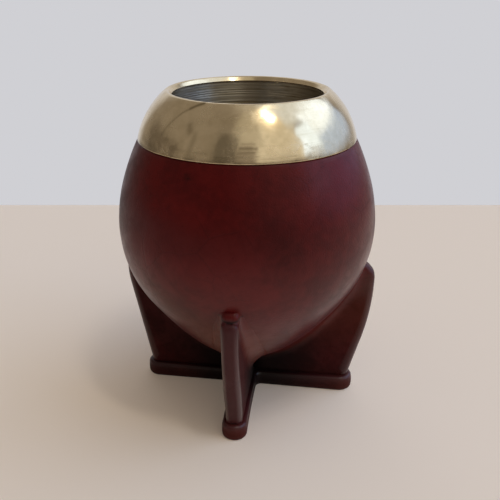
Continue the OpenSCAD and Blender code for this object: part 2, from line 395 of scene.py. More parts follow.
@dataclass(frozen=True)
class WaxTone:
    """How much wax the leather carries: more on the lower half and on the right than elsewhere."""

    low: float = 55.0
    high: float = 75.0
    least: float = 0.05
    right_share: float = 0.35
    right_span: Point2 = (8.0, 40.0)
    worn_share: float = 0.4
    worn_span: Point2 = (34.0, -42.0)
    wander: float = 1.5
    wander_size: float = 12.0

    def at(self, point: Point3) -> float:
        """Return the share of wax at a point of the body.

        Args:
            point: Place on the body, in millimetres.

        Returns:
            A share from 0 to 1.
        """
        height = point[2] + self.wander * noise.noise(Vector(point) / self.wander_size)
        worn = 1 - self.worn_share * ease(point[0], *self.worn_span)
        least = self.least + self.right_share * ease(point[0], *self.right_span)
        return worn * (least + (1 - least) * ease(height, self.high, self.low))


BODY_WAX = WaxTone()


# Mesh makers


@dataclass
class Skin:
    """A mesh under construction: points in millimetres, faces, and shares that its finish reads."""

    points: list[Point3] = field(default_factory=list)
    faces: list[tuple[int, ...]] = field(default_factory=list)
    shares: dict[str, list[float]] = field(default_factory=dict)

    def add_ring(self, ring: list[Point3], **shares: list[float]) -> int:
        """Add a ring of points.

        Args:
            ring: The points.
            **shares: For each named share, one value a point.

        Returns:
            Index of the ring's first point.
        """
        start = len(self.points)
        self.points += ring
        for name, values in shares.items():
            self.shares.setdefault(name, [0.0] * start).extend(values)
        return start

    def bridge(self, low: int, high: int, count: int) -> None:
        """Join two closed rings of the same number of points with quads.

        Args:
            low: First index of the lower ring.
            high: First index of the upper ring.
            count: Number of points in each ring.
        """
        for j in range(count):
            k = (j + 1) % count
            self.faces.append((low + j, low + k, high + k, high + j))

    def cap(self, start: int, count: int, flip: bool) -> None:
        """Close a ring with a fan round its middle point.

        Args:
            start: First index of the ring.
            count: Number of points in the ring.
            flip: Whether the fan faces the other way.
        """
        ring = self.points[start:start + count]
        middle = tuple(sum(p[axis] for p in ring) / count for axis in range(3))
        centre = len(self.points)
        self.points.append(middle)
        for values in self.shares.values():
            values.append(sum(values[start:start + count]) / count)
        for j in range(count):
            k = (j + 1) % count
            self.faces.append((centre, start + j, start + k) if flip else (centre, start + k, start + j))

    def to_object(self, name: str) -> bpy.types.Object:
        """Make the Blender object, in metres and smooth shaded.

        Args:
            name: Name of the object and its mesh.

        Returns:
            The object, linked to the scene.
        """
        mesh = bpy.data.meshes.new(name)
        mesh.from_pydata([(x * MM, y * MM, z * MM) for x, y, z in self.points], [], self.faces)
        for share, values in self.shares.items():
            layer = mesh.attributes.new(share, "FLOAT", "POINT")
            layer.data.foreach_set("value", values)
        mesh.polygons.foreach_set("use_smooth", [True] * len(mesh.polygons))
        mesh.validate()
        mesh.update()
        made = bpy.data.objects.new(name, mesh)
        bpy.context.scene.collection.objects.link(made)
        return made


@dataclass(frozen=True)
class Lathe:
    """Turns a profile round the cup's axis."""

    segments: int

    def turn(self, name: str, profile: list[Point2], closed: bool,
             push: Callable[[Point3, int], Point3] | None = None,
             share: Callable[[Point3, int], dict[str, float]] | None = None) -> bpy.types.Object:
        """Make a turned object.

        Args:
            name: Name of the object.
            profile: Points of distance from the axis and height, in order.
            closed: Whether the last point joins the first.
            push: Moves a point, given with its place in the profile.
            share: Gives the finish's shares at a point.

        Returns:
            The new object.
        """
        skin = Skin()
        starts: list[tuple[int, int]] = []
        for i, (rho, z) in enumerate(profile):
            count = self.segments if rho > 1e-6 else 1
            ring: list[Point3] = []
            for j in range(count):
                c, s = along(360 * j / self.segments)
                p = (rho * c, rho * s, z)
                ring.append(push(p, i) if push else p)
            shares: dict[str, list[float]] = {}
            if share:
                for p in ring:
                    for key, value in share(p, i).items():
                        shares.setdefault(key, []).append(value)
            starts.append((skin.add_ring(ring, **shares), count))
        pairs = list(zip(starts, starts[1:]))
        if closed:
            pairs.append((starts[-1], starts[0]))
        for (low, low_count), (high, high_count) in pairs:
            if low_count == high_count == self.segments:
                skin.bridge(low, high, self.segments)
            elif low_count == 1 and high_count > 1:
                skin.faces += [(low, high + (j + 1) % high_count, high + j) for j in range(high_count)]
            elif high_count == 1 and low_count > 1:
                skin.faces += [(high, low + j, low + (j + 1) % low_count) for j in range(low_count)]
        return skin.to_object(name)


def profile_normals(profile: list[Point2], closed: bool) -> list[Point2]:
    """Return the normal at each point of a profile, on the right of its way.

    Args:
        profile: The points.
        closed: Whether the last point joins the first.

    Returns:
        Unit vectors in the section's plane.
    """
    count = len(profile)
    normals: list[Point2] = []
    for i in range(count):
        a = profile[i - 1] if closed or i > 0 else profile[0]
        b = profile[(i + 1) % count] if closed or i < count - 1 else profile[-1]
        dx, dz = b[0] - a[0], b[1] - a[1]
        length = math.hypot(dx, dz) or 1.0
        normals.append((dz / length, -dx / length))
    return normals


def pushed(profile: list[Point2], closed: bool,
           depth: Callable[[Point3, int], float]) -> Callable[[Point3, int], Point3]:
    """Return a function that moves turned points along the profile's normals.

    Args:
        profile: The profile that is turned.
        closed: Whether it is a closed loop.
        depth: Distance to move a point, given with its place in the profile.

    Returns:
        The function for Lathe.turn.
    """
    normals = profile_normals(profile, closed)

    def push(p: Point3, i: int) -> Point3:
        """Move one point along its normal.

        Args:
            p: The point.
            i: Its place in the profile.

        Returns:
            The moved point.
        """
        reach = math.hypot(p[0], p[1])
        if reach < 1e-6:
            return p
        move = depth(p, i)
        c, s = p[0] / reach, p[1] / reach
        return p[0] + normals[i][0] * move * c, p[1] + normals[i][0] * move * s, p[2] + normals[i][1] * move

    return push


# Node trees


class Graph:
    """Adds nodes to one shader tree and links them."""

    def __init__(self, tree: bpy.types.NodeTree) -> None:
        """Keep the tree that the nodes go into."""
        self.tree = tree

    def add(self, kind: str, inputs: dict[str | int, object] | None = None,
            **settings: object) -> bpy.types.Node:
        """Add a node.

        Args:
            kind: The node's type name.
            inputs: For each input socket, a value or a socket to link from.
            **settings: The node's own settings.

        Returns:
            The new node.
        """
        made = self.tree.nodes.new(kind)
        for key, value in settings.items():
            setattr(made, key, value)
        self.feed(made, inputs or {})
        return made

    def feed(self, node: bpy.types.Node, inputs: dict[str | int, object]) -> None:
        """Fill a node's inputs.

        Args:
            node: The node.
            inputs: For each input socket, a value or a socket to link from.
        """
        for key, value in inputs.items():
            if isinstance(value, bpy.types.NodeSocket):
                self.tree.links.new(value, node.inputs[key])
            else:
                node.inputs[key].default_value = value

    def bump(self, height: Socket, strength: float, distance: float) -> Socket:
        """Return the normal that a height gives, its distance in metres."""
        made = self.add("ShaderNodeBump", {"Strength": strength, "Distance": distance, "Height": height})
        return made.outputs[0]

    def math(self, operation: str, a: object, b: object = 0.0, clamp: bool = False) -> Socket:
        """Return the result of a Math node on one or two values."""
        return self.add("ShaderNodeMath", {0: a, 1: b}, operation=operation, use_clamp=clamp).outputs[0]

    def mix(self, share: object, a: object, b: object, blend: str = "MIX") -> Socket:
        """Return the mix of two colours."""
        made = self.add("ShaderNodeMix", {0: share, 6: self.color(a), 7: self.color(b)},
                        data_type="RGBA", blend_type=blend)
        return made.outputs[2]

    @staticmethod
    def color(value: object) -> object:
        """Return a colour with its fourth part, or the socket as it is."""
        return value if isinstance(value, bpy.types.NodeSocket) else (*value, 1.0)

    def spread(self, value: object, low: float, high: float,
               to_low: float = 0.0, to_high: float = 1.0) -> Socket:
        """Return a value spread smoothly from one range onto another.

        Args:
            value: The value or socket.
            low: Value at the start of the range.
            high: Value at its end.
            to_low: What the start becomes.
            to_high: What the end becomes.

        Returns:
            The result's socket.
        """
        ends = {"Value": value, "From Min": low, "From Max": high, "To Min": to_low, "To Max": to_high}
        made = self.add("ShaderNodeMapRange", ends, interpolation_type="SMOOTHSTEP")
        return made.outputs["Result"]

    def noise(self, vector: object, scale: float, detail: float = 2.0, rough: float = 0.5,
              distortion: float = 0.0) -> Socket:
        """Return a noise value for a place."""
        made = self.add("ShaderNodeTexNoise", {"Vector": vector, "Scale": scale, "Detail": detail,
                                               "Roughness": rough, "Distortion": distortion})
        return made.outputs[0]

    def cells(self, vector: object, scale: float, feature: str = "F1") -> Socket:
        """Return a distance in a pattern of cells for a place."""
        made = self.add("ShaderNodeTexVoronoi", {"Vector": vector, "Scale": scale}, feature=feature)
        return made.outputs["Distance"]

    def share(self, name: str) -> Socket:
        """Return a share that the mesh carries."""
        return self.add("ShaderNodeAttribute", attribute_name=name).outputs["Fac"]


@dataclass(frozen=True)
class GroupSocket:
    """One named input or output of a node group."""

    name: str
    kind: str = "NodeSocketFloat"
    value: float | None = None


class Effect:
    """A shared effect: a node group that is built once and placed in many materials."""

    name = "effect"
    inputs: tuple[GroupSocket, ...] = ()
    outputs: tuple[GroupSocket, ...] = ()

    @classmethod
    def group(cls) -> bpy.types.NodeTree:
        """Return the node group, which is built the first time.

        Returns:
            The group's node tree.
        """
        found = bpy.data.node_groups.get(cls.name)
        if found:
            return found
        tree = bpy.data.node_groups.new(cls.name, "ShaderNodeTree")
        for way, sockets in (("INPUT", cls.inputs), ("OUTPUT", cls.outputs)):
            for spec in sockets:
                made = tree.interface.new_socket(spec.name, in_out=way, socket_type=spec.kind)
                if spec.value is not None:
                    made.default_value = spec.value
        graph = Graph(tree)
        given = graph.add("NodeGroupInput").outputs
        result = cls.build(graph, given)
        out = tree.nodes.new("NodeGroupOutput")
        for spec in cls.outputs:
            tree.links.new(result[spec.name], out.inputs[spec.name])
        return tree

    @classmethod
    def build(cls, graph: Graph, given: bpy.types.NodeOutputs) -> dict[str, Socket]:
        """Fill the group.

        Args:
            graph: The group's graph.
            given: The group's inputs.

        Returns:
            A socket for each output.
        """
        raise NotImplementedError

    @classmethod
    def place(cls, graph: Graph, **values: object) -> bpy.types.NodeOutputs:
        """Place the effect in a material.

        Args:
            graph: The material's graph.
            **values: For each input, a value or a socket.

        Returns:
            The effect's outputs.
        """
        made = graph.add("ShaderNodeGroup", node_tree=cls.group())
        graph.feed(made, values)
        return made.outputs


class LeatherGrain(Effect):
    """Fine grain of smooth leather: shallow pebbles, pores and hair-thin creases."""

    name = "leather_grain"
    inputs = (GroupSocket("Place", "NodeSocketVector"), GroupSocket("Pebbles", value=1.0),
              GroupSocket("Creases", value=1.0))
    outputs = (GroupSocket("Height"), GroupSocket("Pores"))

    @classmethod
    def build(cls, graph: Graph, given: bpy.types.NodeOutputs) -> dict[str, Socket]:
        """Fill the group.

        Args:
            graph: The group's graph.
            given: The group's inputs.

        Returns:
            A socket for each output.
        """
        place = given["Place"]
        bend = graph.add("ShaderNodeTexNoise", {"Vector": place, "Scale": 260.0, "Detail": 2.0}).outputs[1]
        wander = graph.add("ShaderNodeVectorMath", {0: bend, "Scale": 0.0012}, operation="SCALE").outputs[0]
        warped = graph.add("ShaderNodeVectorMath", {0: place, 1: wander}, operation="ADD").outputs[0]
        pebble = graph.spread(graph.cells(warped, 1150.0, "DISTANCE_TO_EDGE"), 0.0, 0.35)
        pores = graph.spread(graph.cells(warped, 620.0), 0.16, 0.05)
        crease = graph.spread(graph.cells(warped, 85.0, "DISTANCE_TO_EDGE"), 0.035, 0.0)
        patchy = graph.spread(graph.noise(place, 55.0), 0.45, 0.7)
        crease = graph.math("MULTIPLY", graph.math("MULTIPLY", crease, patchy), given["Creases"])
        height = graph.math("MULTIPLY", pebble, given["Pebbles"])
        height = graph.math("SUBTRACT", height, graph.math("MULTIPLY", pores, 0.8))
        height = graph.math("SUBTRACT", height, graph.math("MULTIPLY", crease, 1.6))
        return {"Height": height, "Pores": graph.math("ADD", pores, crease, clamp=True)}


class Mottle(Effect):
    """Uneven dye: soft clouds of two sizes with a little fine speckle."""

    name = "mottle"
    inputs = (GroupSocket("Place", "NodeSocketVector"), GroupSocket("Size", value=30.0),
              GroupSocket("Speckle", value=0.2))
    outputs = (GroupSocket("Mask"),)

    @classmethod
    def build(cls, graph: Graph, given: bpy.types.NodeOutputs) -> dict[str, Socket]:
        """Fill the group.

        Args:
            graph: The group's graph.
            given: The group's inputs.

        Returns:
            A socket for each output.
        """
        place = given["Place"]
        broad = graph.add("ShaderNodeTexNoise", {"Vector": place, "Scale": given["Size"], "Detail": 3.0,
                                                 "Roughness": 0.55, "Distortion": 0.6}).outputs[0]
        fine = graph.noise(place, 420.0, 3.0, 0.6)
        speckle = graph.math("MULTIPLY", graph.math("SUBTRACT", fine, 0.5), given["Speckle"])
        mask = graph.math("ADD", broad, speckle)
        return {"Mask": graph.spread(mask, 0.34, 0.68)}


class TurningMarks(Effect):
    """Fine rings left by spinning or turning, broken up round the axis."""

    name = "turning_marks"
    inputs = (GroupSocket("Place", "NodeSocketVector"), GroupSocket("Pitch", value=900.0),
              GroupSocket("Breaks", value=0.5))
    outputs = (GroupSocket("Height"), GroupSocket("Lines"))

    @classmethod
    def build(cls, graph: Graph, given: bpy.types.NodeOutputs) -> dict[str, Socket]:
        """Fill the group.

        Args:
            graph: The group's graph.
            given: The group's inputs.

        Returns:
            A socket for each output.
        """
        parts = graph.add("ShaderNodeSeparateXYZ", {0: given["Place"]}).outputs
        turn = graph.math("MULTIPLY", graph.math("ARCTAN2", parts["Y"], parts["X"]), 0.004)
        reach = graph.math("SQRT", graph.math("ADD", graph.math("MULTIPLY", parts["X"], parts["X"]),
                                              graph.math("MULTIPLY", parts["Y"], parts["Y"])))
        run = graph.math("SUBTRACT", parts["Z"], graph.math("MULTIPLY", reach, 0.6))
        across = graph.math("MULTIPLY", turn, given["Breaks"])
        lane = graph.add("ShaderNodeCombineXYZ", {0: run, 1: across}).outputs[0]
        fine = graph.add("ShaderNodeTexNoise", {"Vector": lane, "Scale": given["Pitch"], "Detail": 3.0,
                                                "Roughness": 0.65}).outputs[0]
        wide = graph.math("MULTIPLY", given["Pitch"], 0.24)
        coarse = graph.add("ShaderNodeTexNoise", {"Vector": lane, "Scale": wide, "Detail": 1.0}).outputs[0]
        height = graph.math("ADD", graph.math("MULTIPLY", fine, 0.5), graph.math("MULTIPLY", coarse, 0.8))
        return {"Height": height, "Lines": graph.spread(fine, 0.55, 0.72)}


class Scratches(Effect):
    """Hair-thin scratches in two crossing directions, and soft handling smears."""

    name = "scratches"
    inputs = (GroupSocket("Place", "NodeSocketVector"), GroupSocket("Amount", value=1.0))
    outputs = (GroupSocket("Mask"), GroupSocket("Smears"))

    @classmethod
    def build(cls, graph: Graph, given: bpy.types.NodeOutputs) -> dict[str, Socket]:
        """Fill the group.

        Args:
            graph: The group's graph.
            given: The group's inputs.

        Returns:
            A socket for each output.
        """
        lines: Socket | None = None
        for turn, seed in ((0.35, 0.0), (-0.6, 3.1), (1.2, 7.7)):
            mapped = graph.add("ShaderNodeMapping", {"Vector": given["Place"], "Location": (seed, 0.0, seed),
                                                     "Rotation": (turn, turn * 1.4, turn),
                                                     "Scale": (1.0, 0.045, 1.0)}).outputs[0]
            hair = graph.spread(graph.cells(mapped, 900.0), 0.07, 0.02)
            here = graph.spread(graph.noise(mapped, 40.0), 0.5, 0.62)
            one = graph.math("MULTIPLY", hair, here)
            lines = one if lines is None else graph.math("MAXIMUM", lines, one)
        smear = graph.spread(graph.noise(given["Place"], 95.0, 4.0, 0.6, 1.2), 0.42, 0.66)
        return {"Mask": graph.math("MULTIPLY", lines, given["Amount"]), "Smears": smear}


# Finishes


def new_material(name: str) -> tuple[bpy.types.Material, Graph, bpy.types.Node, Socket]:
    """Make an empty material with its shader.

    Args:
        name: The material's name.

    Returns:
        The material, its graph, its Principled shader and the place in metres.
    """
    material = bpy.data.materials.new(name)
    material.use_nodes = True
    material.node_tree.nodes.clear()
    graph = Graph(material.node_tree)
    shader = graph.add("ShaderNodeBsdfPrincipled")
    out = graph.add("ShaderNodeOutputMaterial")
    graph.tree.links.new(shader.outputs[0], out.inputs[0])
    place = graph.add("ShaderNodeTexCoord").outputs["Object"]
    return material, graph, shader, place


@dataclass(frozen=True)
class Dye:
    """The three depths of one dye."""

    dark: Color
    middle: Color
    light: Color


@dataclass(frozen=True)
class WaxedLeather:
    """Dyed leather with a wax finish worked in by rubbing, which runs from the body's dye to that of the
    fins; its colour also carries painted light and shadow.
    """

    name: str
    body: Dye
    fins: Dye
    # Russet beside the fins: partly the leather's own tone, partly painted light.
    root: Color
    edge: Color
    coat: float
    dryness: float
    rough: float = 0.36
    shine: float = 0.12
    sheen: float = 0.03
    cloud_size: float = 26.0
    small_size: float = 120.0
    grain_depth: float = 0.00005
    dry_below: float = 0.35
    coat_rough: float = 0.26
    sheen_rough: float = 0.3

    def material(self) -> bpy.types.Material:
        """Build the finish as a material.

        Returns:
            The material.
        """
        material, graph, shader, place = new_material(self.name)
        clouds = Mottle.place(graph, Place=place, Size=self.cloud_size, Speckle=0.2)["Mask"]
        small = Mottle.place(graph, Place=place, Size=self.small_size, Speckle=0.4)["Mask"]
        grain = LeatherGrain.place(graph, Place=place, Pebbles=0.7, Creases=0.5)
        fin = graph.share("fin")
        tones = [graph.mix(fin, getattr(self.body, depth), getattr(self.fins, depth))
                 for depth in ("dark", "middle", "light")]
        color = graph.mix(clouds, tones[0], tones[1])
        color = graph.mix(graph.math("MULTIPLY", small, 0.25), color, tones[2])
        # Painted light in part: the russet beside the fins is partly the leather's own tone and partly light
        # on the flares; on the right-hand fin and the foot's arm ends it is painted light only.
        color = graph.mix(graph.math("MULTIPLY", graph.share("root"), 0.8), color, self.root)
        color = graph.mix(graph.math("MULTIPLY", graph.share("edge"), 0.6), color, self.edge)
        color = graph.mix(graph.math("MULTIPLY", grain["Pores"], 0.35), color, tones[0], "MULTIPLY")
        # Painted shadow: the fins and foot darken towards the axis under the body, the foot's left arm
        # darkens, and so does the nick under the knuckle; the same share also holds the leather's real dark
        # spots.
        color = graph.mix(graph.math("MULTIPLY", graph.share("shade"), 0.9), color, SHADE_AND_SPOT_DARK)
        rough = graph.spread(small, 0.0, 1.0, self.rough + 0.05, self.rough - 0.04)
        rough = graph.math("ADD", rough, graph.math("MULTIPLY", grain["Pores"], 0.12))
        dry = graph.math("MULTIPLY", graph.spread(graph.share("wax"), self.dry_below, 0.0), self.dryness)
        rough = graph.math("ADD", rough, graph.math("MULTIPLY", dry, fin))
        wax = graph.math("MULTIPLY", graph.share("wax"), self.coat)
        graph.feed(shader, {"Base Color": color, "Roughness": rough, "Coat Weight": wax,
                            "Normal": graph.bump(grain["Height"], 0.55, self.grain_depth),
                            "Coat Roughness": self.coat_rough, "Sheen Weight": self.sheen,
                            "Sheen Roughness": self.sheen_rough, "Specular IOR Level": self.shine})
        return material


@dataclass(frozen=True)
class SpunMetal:
    """Spun sheet metal with turning marks, scratches and soft tarnish."""

    name: str
    base: Color
    tarnish: Color
    rough: float
    smear: float
    stain: float
    ringed: float
    brushed: float
    pitch: float
    ring_depth: float
    dirt: Color = (0.26, 0.19, 0.095)
    dull_size: float = 60.0
    brush_turn: float = 0.25

    def material(self) -> bpy.types.Material:
        """Build the finish as a material.

        Returns:
            The material.
        """
        material, graph, shader, place = new_material(self.name)
        rings = TurningMarks.place(graph, Place=place, Pitch=self.pitch, Breaks=0.5)
        marks = Scratches.place(graph, Place=place, Amount=1.0)
        dull = Mottle.place(graph, Place=place, Size=self.dull_size, Speckle=0.4)["Mask"]
        color = graph.mix(graph.math("MULTIPLY", dull, self.stain), self.base, self.tarnish)
        color = graph.mix(graph.math("MULTIPLY", rings["Lines"], self.ringed), color, self.tarnish)
        color = graph.mix(graph.math("MULTIPLY", graph.share("grime"), 0.85), color, self.dirt)
        rough = graph.spread(marks["Smears"], 0.0, 1.0, self.rough, self.rough + self.smear)
        rough = graph.math("ADD", rough, graph.math("MULTIPLY", marks["Mask"], 0.25))
        rough = graph.math("ADD", rough, graph.math("MULTIPLY", rings["Lines"], 0.06))
        height = graph.math("SUBTRACT", rings["Height"], graph.math("MULTIPLY", marks["Mask"], 0.5))
        graph.feed(shader, {"Base Color": color, "Roughness": rough, "Metallic": 1.0,
                            "Normal": graph.bump(height, 0.6, self.ring_depth),
                            "Anisotropic": self.brushed, "Anisotropic Rotation": self.brush_turn})
        return material


@dataclass(frozen=True)
class CuredGourd:
    """Inner wall of a dried gourd, stained by use."""

    name: str
    pale: Color
    brown: Color
    stain: Color
    rough: float = 0.75
    fibre_depth: float = 0.0004

    def material(self) -> bpy.types.Material:
        """Build the finish as a material.

        Returns:
            The material.
        """
        material, graph, shader, place = new_material(self.name)
        streaky = graph.add("ShaderNodeMapping", {"Vector": place, "Scale": (1.0, 1.0, 0.22)}).outputs[0]
        fibre = graph.noise(streaky, 520.0, 5.0, 0.7, 0.8)
        clouds = Mottle.place(graph, Place=place, Size=45.0, Speckle=0.7)["Mask"]
        color = graph.mix(graph.spread(fibre, 0.3, 0.7), self.brown, self.pale)
        color = graph.mix(graph.math("MULTIPLY", clouds, 0.6), color, self.stain)
        graph.feed(shader, {"Base Color": color, "Roughness": self.rough,
                            "Normal": graph.bump(fibre, 0.8, self.fibre_depth)})
        return material


CHERRY = Dye(dark=(0.062, 0.0028, 0.0028), middle=(0.105, 0.0045, 0.0045), light=(0.15, 0.011, 0.01))
OXBLOOD = Dye(dark=(0.024, 0.0022, 0.0022), middle=(0.048, 0.0036, 0.0036), light=(0.075, 0.008, 0.008))
# Russet, partly painted light where the root share uses it.
RUSSET: Color = (0.15, 0.03, 0.015)
COVER_LEATHER = WaxedLeather("cover_leather", CHERRY, OXBLOOD, root=RUSSET, edge=(0.11, 0.03, 0.024),
                             coat=0.45, dryness=0.0)
FIN_LEATHER = WaxedLeather("fin_leather", CHERRY, OXBLOOD, root=RUSSET, edge=(0.065, 0.018, 0.02),
                           coat=1.0, dryness=0.55)
COLLAR_METAL = SpunMetal("collar_metal", base=(0.86, 0.7, 0.46), tarnish=(0.5, 0.38, 0.21),
                         rough=0.16, smear=0.12, stain=0.42, ringed=0.15, brushed=0.65,
                         pitch=900.0, ring_depth=0.000017)
SLEEVE_METAL = SpunMetal("sleeve_metal", base=(0.66, 0.6, 0.49), tarnish=(0.26, 0.2, 0.12),
                         rough=0.32, smear=0.02, stain=0.2, ringed=0.8, brushed=0.85,
                         pitch=700.0, ring_depth=0.00005)
GOURD_WALL = CuredGourd("gourd_inside", pale=(0.5, 0.33, 0.15), brown=(0.28, 0.15, 0.06),
                        stain=(0.1, 0.07, 0.025))


def settle(piece: bpy.types.Object, finish: bpy.types.Material, slot: str, *nodes: str) -> None:
    """Give a piece its finish and its place in the frame.

    Args:
        piece: The piece.
        finish: Its material.
        slot: Not used.
        *nodes: CAD nodes that the piece stands for.
    """
    piece.data.materials.clear()
    piece.data.materials.append(finish)
    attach(piece, ROOT_BODY)
    if nodes:
        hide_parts(*nodes)
    log.info("%s: %d faces", piece.name, len(piece.data.polygons))


# Sub-assemblies


@dataclass
class WrappedGourd:
    """The gourd and the leather stretched over it."""

    outline: BodyOutline
    relief: Relief
    leather_t: float = 2.0
    gourd_wall: float = 4.5
    tuck_inset: float = 1.0
    rim_z: float = 108.0
    rim_round: float = 0.4
    bore_r: float = 27.2
    clearance: float = 0.1
    cover_step: float = 1.1
    gourd_step: float = 1.4
    hidden_step: float = 4.0
    cover_sides: int = 240
    gourd_sides: int = 144
    edge_round: tuple[Point2, ...] = ((0.0, -0.35), (-0.25, -0.12), (-0.6, -0.1))
    dark_band_z: float = 75.0
    dark_band_width: float = 8.0
    dark_band_share: float = 0.55
    wall_relief: Relief = Relief(0.55, 9.0)

    def build_cover(self, dome: Arc) -> bpy.types.Object:
        """Make the leather cover as one turned skin.

        Args:
            dome: The collar's dome, under which the leather runs.

        Returns:
            The cover.
        """
        outside = self.outline.profile(self.cover_step)
        edge_r, edge_z = outside.pop()
        last = len(outside)
        tuck = Arc(dome.centre, dome.radius - self.tuck_inset, dome.first + 1.5, dome.first + 10)
        outside += [(edge_r + x, edge_z + z) for x, z in self.edge_round]
        top = tuck.samples(1.0)
        under = self.outline.profile(self.hidden_step, self.leather_t - 0.06)
        profile = outside + top + [tuck.at(tuck.last, 0.9)] + under[::-1]
        push = pushed(profile, False, lambda p, i: self.relief.at(p) if i < last else 0.0)
        return Lathe(self.cover_sides).turn("leather_skin", profile, False, push, self._shares)

    def _shares(self, p: Point3, i: int) -> dict[str, float]:
        """Return the tones of the leather at a point: russet and painted light beside the fins, a darker
        band above the belly, and its real dark spots.

        Args:
            p: The point.
            i: Not used.

        Returns:
            The shares for the finish.
        """
        # A darker band above the belly, except on the right, made by mixing in the fins' darker dye.
        height = p[2] + 3.0 * noise.noise(Vector(p) / 14.0)
        dark = bell(height, self.dark_band_z, self.dark_band_width) * ease(p[0], 36.0, 20.0)
        return {"root": ROOT_TONE_AND_LIGHT.at(p), "wax": BODY_WAX.at(p), "shade": marked(LEATHER_SPOTS, p),
                "fin": self.dark_band_share * dark}

    def build_gourd(self, dome: Arc) -> bpy.types.Object:
        """Make the gourd, with its fibrous inside and its cut rim.

        Args:
            dome: The collar's dome, which covers the gourd's neck.

        Returns:
            The gourd.
        """
        outer = self.leather_t + self.clearance
        inner = outer + self.gourd_wall
        rim_deg = math.degrees(math.asin((self.rim_z - dome.centre[1]) / (dome.radius - outer)))
        neck = Arc(dome.centre, dome.radius - outer, dome.first + 1, rim_deg)
        inside = self.outline.profile(self.gourd_step, inner)
        grown = len(inside)
        top_r, top_z = inside[-1]
        throat = [(max(self.bore_r, top_r - 1.2), top_z + 0.8), (self.bore_r, top_z + 2.0)]
        rim = [(self.bore_r, self.rim_z - self.rim_round), (self.bore_r + self.rim_round, self.rim_z)]
        profile = inside + throat + rim + [neck.at(neck.last)] + neck.samples(2.5)[::-1]
        profile += self.outline.profile(self.hidden_step, outer)[::-1][1:]
        push = pushed(profile, False, lambda p, i: self.wall_relief.at(p) if i < grown else 0.0)
        return Lathe(self.gourd_sides).turn("gourd", profile, False, push)

    def dress(self, cover: bpy.types.Object, gourd: bpy.types.Object) -> None:
        """Give both pieces their finishes."""
        settle(cover, COVER_LEATHER.material(), "cover_leather", "leather_cover")
        settle(gourd, GOURD_WALL.material(), "gourd", "gourd_shell")


